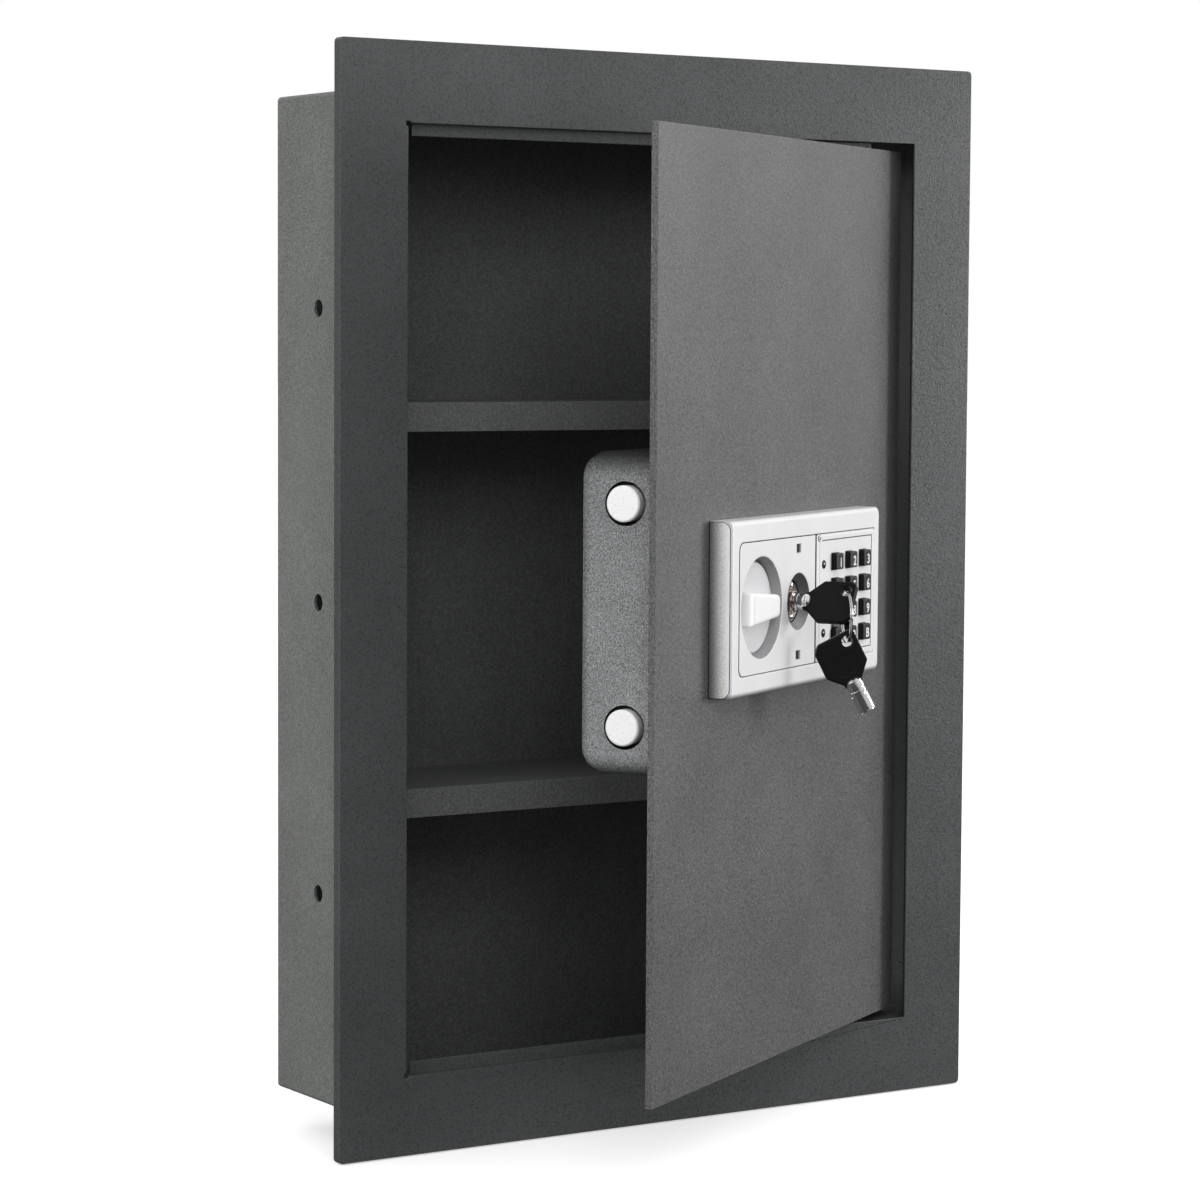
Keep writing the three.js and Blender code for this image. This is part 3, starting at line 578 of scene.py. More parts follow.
def make(name, vf, mat4, material, body, replaces=(), smooth=35.0, weighted=True, face_mat=None):
    ob = new_object(name, *vf, mat4, material, smooth, face_mat)
    if weighted:
        soften(ob, 0)
    return place(ob, body, replaces)


# ------------------------------------------------------------------ carried-over CAD pieces
def carry(node, material, width=0.4, seg=3, angle=40.0):
    ob = NODES[node]
    me = ob.data
    for nm in ("custom_normal",):
        if nm in me.attributes:
            me.attributes.remove(me.attributes[nm])
    me.polygons.foreach_set("use_smooth", [True] * len(me.polygons))
    if "sharp_face" in me.attributes:
        me.attributes.remove(me.attributes["sharp_face"])
    me.materials.clear()
    me.materials.append(material)
    soften(ob, width, seg, angle, weld=True)
    return ob


carry("body_wrap", M["box"], 0.45)
carry("back_panel", M["box"], 0.35)
carry("front_frame", M["frame"], 0.8, 4, 50)
carry("shelf_upper", M["inner"], 0.4)
carry("shelf_lower", M["inner"], 0.4)
for s in ("top", "bottom"):
    carry("hinge_bracket_" + s, M["inner"], 0.3)
    carry("hinge_lug_" + s, M["inner"], 0.3)
    carry("hinge_bush_" + s, M["brass"], 0.3)
    carry("hinge_pin_" + s, M["zinc"], 0.3)
carry("door_panel", M["door"], 0.45, 3, 60)
for s in ("upper", "lower"):
    carry("bolt_guide_" + s, M["guide"], 0.3)
for n in ("bolt_carriage", "drive_cam", "knob_spindle", "solenoid_body", "solenoid_plunger", "lock_plug"):
    carry(n, M["zinc"], 0.25)
carry("plunger_spring", M["zinc"], 0)
carry("battery_box", M["black"], 0.3)
for i in range(4):
    carry("battery_%d" % (i + 1), M["cell"], 0.3)
carry("circuit_board", M["board"], 0.15)
carry("keypad_plate", M["silver"], 0.22, 3, 50)

# ------------------------------------------------------------------ bezel
bz, kp_, lp_, pp_ = cbox("bezel"), cbox("knob_plate"), cbox("lock_plate"), cbox("keypad_plate")
wx0, wx1 = kp_.x0 - 1.05, pp_.x1 + 0.4
wz0, wz1 = kp_.z0 - 0.42, kp_.z1 + 0.42
yf, yb = bz.y0, bz.y1


def asym(il, ir, iz, y, rl, rq):
    return rr2(bz.x0 + il, bz.x1 - ir, bz.z0 + iz, bz.z1 - iz, rl, rq, y, 10)


loops = [asym(0, 0, 0, yb, 0.9, 3.2), asym(0, 0, 0, yf + 3.0, 0.9, 3.2), asym(0, 0, 0, yf + 2.0, 0.9, 3.2)]
for k in range(1, 9):                                      # rolled front edge
    a = math.pi / 2 * k / 8
    q = 1 - math.cos(a)
    loops.append(asym(1.15 * q, 2.0 * q, 2.5 * q, yf + 2.0 - 2.0 * math.sin(a), 0.9 + 0.5 * q, 3.2 + 0.4 * q))
loops += [rr2(wx0 - i, wx1 + i, wz0 - i, wz1 + i, 4.6 + i, 1.2 + i, yf + d, 10) for i, d in [(0.7, 0.0)] + [(0.3 - a, b) for a, b in [(0.0, 0.0), (0.15, 0.05), (0.25, 0.15), (0.3, 0.3)]]]
loops += [rr2(wx0, wx1, wz0, wz1, 4.6, 1.2, yf + 2.2, 10), rr2(bz.x0 + 2.2, bz.x1 - 2.2, bz.z0 + 2.2, bz.z1 - 2.2, 1.6, 1.6, yf + 2.2, 10),
          rr2(bz.x0 + 2.2, bz.x1 - 2.2, bz.z0 + 2.2, bz.z1 - 2.2, 1.6, 1.6, yb, 10)]
make("bezel_shell", loft(loops, wrap=True), DOOR, M["bezel"], "door", ["bezel"], smooth=40)
# textured end panel let into the left wall, with a fine dark parting line round it
end_outline = round_poly([(yb, bz.z0 + 0.45), (yf + 1.35, bz.z0 + 0.45), (yf + 1.35, bz.z1 - 0.45), (yb, bz.z1 - 0.45)], [0.05, 4.6, 4.6, 0.05], 12)
for nm, mt, sl, lay in (("bezel_parting_line", M["dark"], "black_plastic", [(-0.30, 0.35), (-0.30, -0.03), (-0.26, -0.05)]),
                        ("bezel_end_panel", M["silver_side"], "silver_plastic", [(0.0, 0.30), (0.0, -0.04), (0.05, -0.10), (0.16, -0.13)])):
    make(nm, loft([[(bz.x0 + x, y, z) for y, z in offset_poly(end_outline, off)] for off, x in lay]), DOOR, mt, "door", weighted=False)

# ------------------------------------------------------------------ knob plate with its dish
kn = cbox("knob")
KX, KZ = kn.cx, kn.cz
sp = cbox("knob_spindle")
KX, KZ = sp.cx, sp.cz
dish_r, floor_r = 25.1, 23.4
floor_y = kp_.y1 - 1.8
bore = 4.7


def thetas(x0, x1, z0, z1, rl, rq, cx, cz, n=144, per=9):
    t = [2 * math.pi * k / n for k in range(n)]
    for px, pz, a0, r in ((x1 - rq, z0 + rq, -90, rq), (x1 - rq, z1 - rq, 0, rq), (x0 + rl, z1 - rl, 90, rl), (x0 + rl, z0 + rl, 180, rl)):
        for i in range(per + 1):
            a = math.radians(a0 + 90 * i / per)
            t.append(math.atan2(pz + r * math.sin(a) - cz, px + r * math.cos(a) - cx) % (2 * math.pi))
    t.sort()
    out = [t[0]]
    for a in t[1:]:
        if a - out[-1] > 1e-4:
            out.append(a)
    return out


def rr_ray(x0, x1, z0, z1, rl, rq, cx, cz, th, y):
    """Rounded rectangle sampled along rays from (cx, cz)."""
    out = []
    for a in th:
        dx, dz = math.cos(a), math.sin(a)
        lo, hi = 0.0, 400.0
        for _ in range(40):
            m = (lo + hi) / 2
            px, pz = cx + dx * m, cz + dz * m
            r = rq if px > cx else rl
            qx = max(x0 + r - px, px - (x1 - r), 0)
            qz = max(z0 + r - pz, pz - (z1 - r), 0)
            inside = math.hypot(qx, qz) <= r and x0 <= px <= x1 and z0 <= pz <= z1
            lo, hi = (m, hi) if inside else (lo, m)
        out.append((cx + dx * lo, y, cz + dz * lo))
    return out


def polar(cx, cz, r, y, th):
    return [(cx + r * math.cos(a), y, cz + r * math.sin(a)) for a in th]


def dished_plate(name, b, rl, rq, cx, cz, profile, back, mats, replaces, cutters=(), face_mat=None):
    th = thetas(b.x0, b.x1, b.z0, b.z1, rl, rq, cx, cz)
    f = 0.22
    loops = [rr_ray(b.x0, b.x1, b.z0, b.z1, rl, rq, cx, cz, th, b.y0 + 2.2)]
    for i, d in fillet((0.0, f), (f, 0.0), 3):
        loops.append(rr_ray(b.x0 + i, b.x1 - i, b.z0 + i, b.z1 - i, max(rl - i, 0.1), max(rq - i, 0.1), cx, cz, th, b.y0 + d))
    loops += [polar(cx, cz, rad, y, th) for rad, y in profile]
    loops += [polar(cx, cz, rad, y, th) for rad, y in back]
    ob = new_object(name, *loft(loops, wrap=True), DOOR, mats, 40)
    if cutters:
        boolean(ob, [temp(box_vf(*c), DOOR) for c in cutters])
        shade(ob, 40)
    # rim walls facing the window gap take the dark material: painted shade in the gap
    ob.data.materials.append(M["dark"])
    for p in ob.data.polygons:
        c = shut(p.center)
        rim = min(c.x - b.x0, b.x1 - c.x, c.z - b.z0, b.z1 - c.z) < 0.06 or math.hypot(min(c.x - b.x0 - rl, 0), max(abs(c.z - (b.z0 + b.z1) / 2) - ((b.z1 - b.z0) / 2 - rl), 0)) > rl - 0.06
        p.material_index = 2 if rim and c.y > b.y0 + f and abs(p.normal.dot(DOOR_N)) < 0.3 else (face_mat(p) if face_mat else 0)
    soften(ob, 0)
    return place(ob, "door", replaces)


def shut(p):
    q = UNSWING @ p
    return q * 1000


prof = [(dish_r + 0.5, yf), (dish_r + 0.2, yf + 0.08), (dish_r + 0.02, yf + 0.3), (dish_r - 0.05, yf + 0.6), (24.3, (yf + floor_y) / 2 + 0.6),
        (floor_r + 0.25, floor_y - 0.7), (floor_r, floor_y - 0.25), (floor_r - 0.35, floor_y), (bore, floor_y), (bore, kp_.y1)]
back = [(floor_r + 1.5, kp_.y1), (dish_r + 1.4, yf + 2.2)]
seam = (kp_.x1 + lp_.x0) / 2
kpv, lpv = cbox("knob_plate"), cbox("lock_plate")
kpv.x1, lpv.x0 = seam - 0.02, seam + 0.02
lpv.z0, lpv.z1 = kpv.z0, kpv.z1
# faces inside the dish take the dish material: painted shade in the recess
dished_plate("knob_plate_dished", kpv, 4.3, 0.15, KX, KZ, prof, back, [M["silver"], M["dish"]], ["knob_plate"],
             face_mat=lambda p: 1 if (Vector((shut(p.center).x - KX, shut(p.center).z - KZ)).length < dish_r - 0.02 and shut(p.center).y > yf + 0.35) else 0)

# ------------------------------------------------------------------ knob
ky0, ky1 = kn.y0, kn.y1
disc_y = floor_y - 1.8
disc_r = 22.3
disc = [(4.35, floor_y - 0.45), (disc_r - 0.3, floor_y - 0.45), (disc_r, floor_y - 0.7), (disc_r, disc_y + 0.45), (disc_r - 0.15, disc_y + 0.15), (disc_r - 0.5, disc_y), (4.35, disc_y)]
knob = new_object("knob_body", *lathe_y(disc, KX, KZ, 144, wrap=True), DOOR, [M["knob"], M["disc"]], 40)
outline = round_poly([(-20.6, -8.8), (17.2, -5.8), (20.4, -4.2), (20.4, 4.2), (17.2, 5.8), (-20.6, 8.8)], [1.4, 9, 3.6, 3.6, 9, 1.4], 8)
outline = [(KX + a, KZ + b) for a, b in outline]
bar = []
for off, y in [(-0.2, disc_y + 0.8), (-0.55, disc_y + 0.02), (-0.25, disc_y - 0.25), (-0.06, disc_y - 0.7), (0.0, disc_y - 1.2), (0.05, (disc_y + ky0) / 2 + 1.2), (0.10, (disc_y + ky0) / 2), (0.16, (disc_y + ky0) / 2 - 1.0), (0.25, ky0 + 1.6), (0.36, ky0 + 1.05), (0.62, ky0 + 0.55), (1.05, ky0 + 0.22), (1.7, ky0 + 0.05), (2.6, ky0)]:
    h = min(max((disc_y - 0.6 - y) / (disc_y - 0.6 - ky0), 0.0), 1.0)
    pl_, pr_ = 4.2 * (1 - math.sqrt(max(1 - h * h, 0))), 3.0 * (1 - math.sqrt(max(1 - h * h, 0)))
    bar.append([(x + pl_ * max(0, min(1, (KX - 12 - x) / 8)) - pr_ * max(0, min(1, (x - KX - 12) / 8)), y, z) for x, z in offset_poly(outline, off)])
bar_ob = temp(loft(bar), DOOR)
bar_ob.data.materials.append(M["knob"])
boolean(knob, [bar_ob], "UNION")
shade(knob, 40)
for p in knob.data.polygons:
    p.material_index = 1 if shut(p.center).y > disc_y - 0.12 else 0
soften(knob, 0)
place(knob, "knob_assembly", ["knob"])

# ------------------------------------------------------------------ lock plate, barrel, screws
lb = cbox("lock_barrel")
LX, LZ = cbox("lock_plug").x1 - 4.1, (cbox("barrel_screw_upper").cz + cbox("barrel_screw_lower").cz) / 2
LX = cbox("barrel_screw_upper").cx
cone_y = lp_.y1
cr, cfr = 14.4, 10.8
prof = [(cr + 0.45, yf), (cr + 0.15, yf + 0.08), (cr - 0.03, yf + 0.3), (cr - 0.25, yf + 0.6), (cfr + 0.45, cone_y - 0.55), (cfr + 0.12, cone_y - 0.2), (cfr + 0.02, cone_y)]
back = [(cfr + 1.8, cone_y), (cr + 1.5, yf + 2.2)]
slots = []
for z in (lp_.z1 - 4.8, lp_.z0 + 4.8):
    slots.append((LX - 3.4, LX + 2.4, yf - 1, yf + 1.5, z - 2.3, z + 2.3))


def cone_mat(p):
    c = shut(p.center)
    return 1 if (Vector((c.x - LX, c.z - LZ)).length < cr - 0.1 and c.y > yf + 0.35) else 0


def cone_shade(nt, tc):
    return ramp(nt, shut_coord(nt, tc, 2), LZ - 12, LZ + 13, 1.25, 0.55)


M["cone"] = plastic("cone_brushed_plastic", (0.27, 0.27, 0.28), rough=0.34, metal=0.45, grain=2200, speck=0.14, bump=0.2, shade_fn=cone_shade)
dished_plate("lock_plate_coned", lpv, 0.15, 0.3, LX, LZ, prof, back, [M["silver"], M["cone"]], ["lock_plate"], cutters=slots, face_mat=cone_mat)
for i, s in enumerate(slots):          # dark ribbed inserts in the two ports
    x0, x1, _, y1, z0, z1 = s
    parts_v, parts_f = [], []
    for bx in [(x0 + 0.02, x1 - 0.02, yf + 1.1, y1 + 0.4, z0 + 0.02, z1 - 0.02)] + [(x0 + 0.5 + k * 1.25, x0 + 1.1 + k * 1.25, yf + 0.45, yf + 1.2, z0 + 0.35, z1 - 0.35) for k in range(4)]:
        v, f = box_vf(*bx)
        parts_f += [tuple(q + len(parts_v) for q in ff) for ff in f]
        parts_v += v
    make("port_insert_%d" % (i + 1), (parts_v, parts_f), DOOR, M["rib"], "door", weighted=False)

flange_y0 = cbox("circuit_board").y0 - 0.5
barrel_prof = [(4.45, lb.y1), (6.6, lb.y1), (6.6, lb.y1 - 20.0), (10.3, lb.y1 - 20.9), (10.3, cone_y + 0.55), (10.05, cone_y + 0.3), (6.3, cone_y + 0.3), (5.9, cone_y + 0.0),
               (5.6, cone_y - 0.3), (5.6, cone_y - 0.9), (5.3, cone_y - 1.05), (5.3, cone_y - 1.35), (5.6, cone_y - 1.5), (5.6, lb.y0 + 0.5), (5.45, lb.y0 + 0.15), (5.1, lb.y0), (4.75, lb.y0), (4.45, lb.y0 + 0.3)]
barrel_prof[2] = (6.6, -4.3 - 95.25 + 0.2) if False else (6.6, cone_y + 2.3)
barrel_prof[3] = (10.3, cone_y + 2.2)
ob = new_object("lock_barrel_turned", *lathe_y(barrel_prof, LX, LZ, 96, wrap=True), DOOR, [M["nickel"], M["flange"]], 35)
boolean(ob, [temp(lathe_y([(1.2, cone_y - 1), (1.2, cone_y + 4)], LX, cbox("barrel_screw_" + s).cz, 24), DOOR) for s in ("upper", "lower")])
shade(ob, 35)
for p in ob.data.polygons:
    c = shut(p.center)
    p.material_index = 1 if math.hypot(c.x - LX, c.z - LZ) > 6.0 else 0
soften(ob, 0)
place(ob, "door", ["lock_barrel"])
for s in ("upper", "lower"):
    b = cbox("barrel_screw_" + s)
    hr = 1.85
    pr = [(0.0001, b.y0), (0.7, b.y0 + 0.03), (1.3, b.y0 + 0.2), (1.7, b.y0 + 0.5), (hr, b.y0 + 0.85), (hr, b.y0 + 1.28), (0.9, b.y0 + 1.3), (0.9, b.y1), (0.0001, b.y1)]
    # the slot is moved a hair when its edges land on the head's own and the cut comes back empty
    for d in (0.0, 0.013, 0.027, 0.041, 0.057):
        ob = new_object("barrel_screw_head_" + s, *lathe_y(pr, b.cx, b.cz, 48), DOOR, [M["chrome"]], 35)
        boolean(ob, [temp(box_vf(b.cx - 1.2 + d, b.cx + 1.2 + d, b.y0 - 1, b.y0 + 0.6 + d, b.cz - 0.22 + d, b.cz + 0.22 + d), DOOR), temp(box_vf(b.cx - 0.22 + d, b.cx + 0.22 + d, b.y0 - 1, b.y0 + 0.6 + d / 2, b.cz - 1.2 + d, b.cz + 1.2 + d), DOOR)])
        if len(ob.data.polygons) > 100:
            break
        if d < 0.057:
            bpy.data.objects.remove(ob)
    shade(ob, 35)
    place(ob, "door", ["barrel_screw_" + s])

# thin rib standing in the gap beside the keypad
gx0, gx1 = lp_.x1 + 1.7, pp_.x0 - 0.10
make("panel_divider", loft([rr(gx0 + i, gx1 - i, kpv.z0 + 0.1 + i, kpv.z1 - 0.1 - i, 0.15, y, 3) for i, y in ((0, yf + 2.1), (0, yf + 0.18), (0.05, yf + 0.05), (0.16, yf))]), DOOR, M["silver"], "door")
# dark sheet behind the rib: painted shade in the gap
make("panel_divider_painted_gap_shade", loft([rr(lp_.x1 + 0.1, pp_.x0 - 0.02, kpv.z0, kpv.z1, 0.15, y, 3) for y in (yf + 2.3, yf + 0.22)]), DOOR, M["dark"], "door", weighted=False)

# ------------------------------------------------------------------ keypad trim
fx0, fx1, fz0, fz1 = pp_.x0 + 3.6, pp_.x1 - 1.6, pp_.z0 + 0.9, pp_.z1 - 0.7
trim = []
for i, y in [(0.0, yf + 0.4), (0.0, yf - 0.18), (0.12, yf - 0.3), (0.3, yf - 0.34), (2.1, yf - 0.34), (2.26, yf - 0.28), (2.34, yf - 0.12), (2.34, yf + 0.4)]:
    trim.append(rr(fx0 + i, fx1 - i, fz0 + i, fz1 - i, max(2.6 - i * 0.75, 0.5), y, 8))
make("keypad_trim", loft(trim, wrap=True), DOOR, M["silver"], "door")
groove = []
for i, y in [(2.38, yf + 0.3), (2.38, yf - 0.03), (2.80, yf - 0.03), (2.80, yf + 0.3)]:
    groove.append(rr(fx0 + i, fx1 - i, fz0 + i, fz1 - i, 0.7, y, 8))
make("keypad_trim_shadow_gap", loft(groove, wrap=True), DOOR, M["dark"], "door", weighted=False)
for s, z in (("upper", fz1 - 1.3), ("lower", fz0 + 1.3)):
    x = fx0 - 0.1
    # the eyelet's hole and underside take the dark material: painted shade
    make("trim_eyelet_" + s, lathe_y([(0.0001, yf - 0.42), (0.75, yf - 0.42), (0.80, yf - 0.62), (1.15, yf - 0.72), (1.45, yf - 0.60), (1.55, yf - 0.4), (1.55, yf + 0.4), (0.0001, yf + 0.4)], x, z, 48), DOOR, [M["silver"], M["dark"]], "door",
         face_mat=lambda p, x=x, z=z: 1 if math.hypot(shut(p.center).x - x, shut(p.center).z - z) < 0.78 or (shut(p.center).y > yf - 0.45) else 0)

# ------------------------------------------------------------------ lamps
for s, mt, sl in (("upper", M["lens_g"], "lens_green"), ("lower", M["lens_r"], "lens_red")):
    b = cbox("led_" + s)
    r = (b.x1 - b.x0) / 2
    make("lamp_collar_" + s, lathe_y([(r + 0.02, yf - 0.25), (r + 0.25, yf - 0.42), (r + 0.55, yf - 0.36), (r + 0.7, yf - 0.1), (r + 0.7, yf + 0.02), (r + 0.3, yf + 0.02), (r + 0.3, yf + 1.0), (r + 0.02, yf + 1.0)], b.cx, b.cz, 48, wrap=True), DOOR, M["dark"], "door")
    make("lamp_lens_" + s, lathe_y([(0.0001, yf - 0.75), (0.5, yf - 0.70), (0.95, yf - 0.55), (1.3, yf - 0.3), (r, yf + 0.1), (r, b.y1), (0.0001, b.y1)], b.cx, b.cz, 48), DOOR, mt, "door", ["led_" + s])

# ------------------------------------------------------------------ buttons and legends
for nm in "1234567890":
    pass
LEGEND = {"1": "1", "2": "2", "3": "3", "4": "4", "5": "5", "6": "6", "7": "7", "8": "8", "9": "9", "a": "A", "0": "0", "b": "B"}
for key, txt in LEGEND.items():
    node = "button_" + key
    b = cbox(node)
    w = 1.0                                  # the hidden skirt stands 1 mm out all round
    x0, x1, z0, z1 = b.x0 + w, b.x1 - w, b.z0 + w, b.z1 - w
    y0 = b.y0
    lp = [rr(b.x0, b.x1, b.z0, b.z1, 0.4, b.y1, 6), rr(b.x0, b.x1, b.z0, b.z1, 0.4, b.y1 - 1.1, 6), rr(x0, x1, z0, z1, 0.7, b.y1 - 1.15, 6), rr(x0, x1, z0, z1, 0.7, y0 + 0.7, 6)]
    for i, d in ((0.05, 0.42), (0.16, 0.2), (0.34, 0.06), (0.6, 0.0)):
        lp.append(rr(x0 + i, x1 - i, z0 + i, z1 - i, 0.8, y0 + d, 6))
    lp += [rr(x0 + 1.1, x1 - 1.1, z0 + 1.1, z1 - 1.1, 0.9, y0 + 0.05, 6), rr(x0 + 2.2, x1 - 2.2, z0 + 2.2, z1 - 2.2, 1.0, y0 + 0.13, 6), rr(x0 + 3.4, x1 - 3.4, z0 + 3.3, z1 - 3.3, 0.6, y0 + 0.17, 6)]
    # front-facing faces take the keycap plastic, and the sides take its painted-shade copy
    make("keycap_" + key, loft(lp), DOOR, [M["button"], M["button_side"]], "button_" + key, [node], face_mat=lambda p: 0 if abs(p.normal.dot(DOOR_N)) > 0.30 else 1)
    cu = bpy.data.curves.new("legend_" + key, "FONT")
    cu.body, cu.size, cu.align_x, cu.align_y = txt, 5.9, "CENTER", "CENTER"
    cu.extrude, cu.offset, cu.resolution_u = 0.12, 0.09, 4
    t = bpy.data.objects.new("tmp_text", cu)
    bpy.context.scene.collection.objects.link(t)
    bpy.context.view_layer.update()
    me = bpy.data.meshes.new_from_object(t.evaluated_get(bpy.context.evaluated_depsgraph_get()))
    bpy.data.objects.remove(t)
    co = np.array([v.co[:] for v in me.vertices])
    cc = (co.min(0) + co.max(0)) / 2
    # text lies in XY facing +Z: lay it on the button face, reading from the front
    M4 = DOOR @ Matrix.Translation(Vector(((x0 + x1) / 2 + 1.0, y0 + 0.10, (z0 + z1) / 2 - 0.5))) @ Matrix.Rotation(math.pi / 2, 4, "X") @ Matrix.Diagonal((1.0 if txt == "1" else 1.30, 1.16, 1, 1)) @ Matrix.Translation(Vector((-cc[0], -cc[1], 0)))
    me.transform(M4)
    me.materials.clear()
    me.materials.append(M["print"])
    for p in me.polygons:
        p.use_smooth = False
    bm = bmesh.new()
    bm.from_mesh(me)
    bmesh.ops.remove_doubles(bm, verts=bm.verts, dist=1e-6)
    bmesh.ops.recalc_face_normals(bm, faces=bm.faces)
    bm.to_mesh(me)
    bm.free()
    ob = bpy.data.objects.new("legend_" + key, me)
    bpy.context.scene.collection.objects.link(ob)
    place(ob, "button_" + key)

# ------------------------------------------------------------------ lock housing with its battery cover
hs, bc = cbox("lock_housing"), cbox("battery_cover")
HR, WALL, END_Y, END_Z = 11.0, 1.8, 0.9, 5.5
ys = hs.y0


def hous_loop(x, gy, gz, r0, y_start, ymax, z0, z1):
    r = max(r0 - (gy + gz) / 2, 0.8)
    ye, a, b = ymax - gy, z0 + gz, z1 - gz
    p = [(x, y_start, a)]
    n = 14
    for i in range(n + 1):
        t = math.pi / 2 * i / n
        p.append((x, ye - r + r * math.sin(t), a + r - r * math.cos(t)))
    for i in range(n + 1):
        t = math.pi / 2 * i / n
        p.append((x, ye - r + r * math.cos(t), b - r + r * math.sin(t)))
    p.append((x, y_start, b))
    return p


def hous_solid(inset, y_start):
    ey, ez = max(END_Y - inset, 0.6), END_Z - inset
    L_ = []
    x0, x1, y1, z0, z1 = hs.x0 + inset, hs.x1 - inset, hs.y1 - inset, hs.z0 + inset, hs.z1 - inset
    ex = 5.0 - inset
    for side in (0, 1):
        for k in (range(9) if side == 0 else range(8, -1, -1)):
            a = math.pi / 2 * k / 8
            x = x0 + ex * (1 - math.cos(a)) if side == 0 else x1 - ex * (1 - math.cos(a))
            L_.append(hous_loop(x, ey * (1 - math.sin(a)), ez * (1 - math.sin(a)), HR - inset, y_start, y1, z0, z1))
    return loft(L_)


hy1 = hs.y1
outer = new_object("lock_housing_shell", *hous_solid(0.0, ys), DOOR, [M["housing"], M["dark"]], 40)
cuts = [temp(hous_solid(WALL, ys - 2.0), DOOR)]
for s in ("upper", "lower"):
    b = cbox("bolt_" + s)
    v, f = lathe_axis([(10.6, hs.x0 - 3), (10.6, hs.x0 + WALL + 3)], 96)
    cuts.append(temp(([(x, y + b.cy, z + b.cz) for x, y, z in v], f), DOOR))
cuts.append(temp(box_vf(bc.x0 - 0.4, bc.x1 + 0.4, hy1 - WALL - 1, hy1 + 2, bc.z0 - 0.4, bc.z1 + 0.4), DOOR))
boolean(outer, cuts)
shade(outer, 40)
_bolts = [cbox("bolt_upper"), cbox("bolt_lower")]
# painted shade: bolt-hole walls and the shell's inner faces take the dark material
for p in outer.data.polygons:
    c = shut(p.center)
    hole = any(math.hypot(c.y - b.cy, c.z - b.cz) < 10.75 for b in _bolts) and c.x < hs.x0 + WALL + 1 and abs((UNSWING.to_3x3() @ p.normal).x) < 0.5
    under = c.x > hs.x0 + WALL - 0.3 and c.x < hs.x1 - WALL + 0.3 and c.y < hs.y1 - WALL + 0.3 and hs.z0 + WALL - 0.3 < c.z < hs.z1 - WALL + 0.3
    p.material_index = 1 if hole or under else 0
soften(outer, 0.45, 3, 55)
place(outer, "door", ["lock_housing"])
lid_top = hy1 + 0.1
lid = [rr(bc.x0, bc.x1, bc.z0, bc.z1, 1.0, hy1 - WALL + 0.1, 6), rr(bc.x0, bc.x1, bc.z0, bc.z1, 1.0, lid_top - 0.35, 6)]
for i, d in fillet((0.0, 0.3), (0.35, 0.0), 3):
    lid.append(rr(bc.x0 + i, bc.x1 - i, bc.z0 + i, bc.z1 - i, 1.0, lid_top - d, 6))
ob = new_object("battery_cover_plate", *loft(lid), DOOR, [M["black"]], 40)
for k in range(5):
    z = bc.z1 - 6.5 - k * 1.9
    rb = loft([rr(bc.cx - 10 + i, bc.cx + 10 - i, z - 0.55 + i, z + 0.55 - i, 0.5, y, 4) for i, y in ((0, lid_top - 0.6), (0, bc.y1 - 0.5), (0.2, bc.y1 - 0.15), (0.4, bc.y1))])
    boolean(ob, [temp(rb, DOOR)], "UNION")
shade(ob, 40)
soften(ob, 0)
place(ob, "battery_lid", ["battery_cover"])

# ------------------------------------------------------------------ bolts
for s in ("upper", "lower"):
    b = cbox("bolt_" + s)
    r = (b.z1 - b.z0) / 2
    pr = [(0.0001, b.x0), (r - 1.0, b.x0), (r - 0.75, b.x0 + 0.04), (r - 0.15, b.x0 + 0.62), (r, b.x0 + 0.95), (r, b.x1 - 0.4), (r - 0.4, b.x1), (0.0001, b.x1)]
    v, f = lathe_axis(pr, 96)
    make("live_bolt_" + s, ([(x, y + b.cy, z + b.cz) for x, y, z in v], f), DOOR, M["bolt"], "bolt_work", ["bolt_" + s], smooth=30)

# ------------------------------------------------------------------ keys and ring
BOW_LEN, BOW_W, BOW_T = 26.6, 22.8, 3.6


def key_frame(i):
    """Row-frame matrix of a key: X along it from the far end of the bow, Y across, Z through the bow; millimetres."""
    bow, barrel = "key_bow_%d" % i, "key_barrel_%d" % i
    cb, axb = principal(barrel)
    cw, axw = principal(bow)
    s = axb[0]
    if (cb - cw).dot(s) < 0:
        s = -s
    nrm = axw[2]
    nrm = (nrm - s * nrm.dot(s)).normalized()
    t = nrm.cross(s).normalized()
    co = np.array([v.co[:] for v in NODES[bow].data.vertices])
    lo = min(float(Vector(c).dot(s)) for c in co)
    o = cb + s * (lo - cb.dot(s))
    # the ring hole lies on the +t side: find it from the ring's own place
    rc, _ = principal("key_ring")
    if (rc - o).dot(t) < 0 and i == 1:
        t, nrm = -t, -nrm
    m = Matrix((s, t, nrm)).transposed().to_4x4()
    m.translation = o
    return m


bpy.context.view_layer.update()
K1 = key_frame(1)
# key 1: across-axis is the one leaning to +Z, as its ring hole sits high
if K1.col[1].z < 0:
    K1.col[1] = -K1.col[1]
    K1.col[2] = -K1.col[2]
K2 = key_frame(2)
# the second key's hole is nearest the bottom of the ring
ringc, ringax = principal("key_ring")
HS, HT = 4.9, 6.2
ring_r = max((Vector(v.co) - ringc).length for v in NODES["key_ring"].data.vertices) * 1000 - 0.75
low = ringc - Vector((0, 0, 1)) * ring_r / 1000
if ((K2 @ MM @ Vector((HS, -HT, 0))) - low).length < ((K2 @ MM @ Vector((HS, HT, 0))) - low).length:
    K2.col[1] = -K2.col[1]
    K2.col[2] = -K2.col[2]

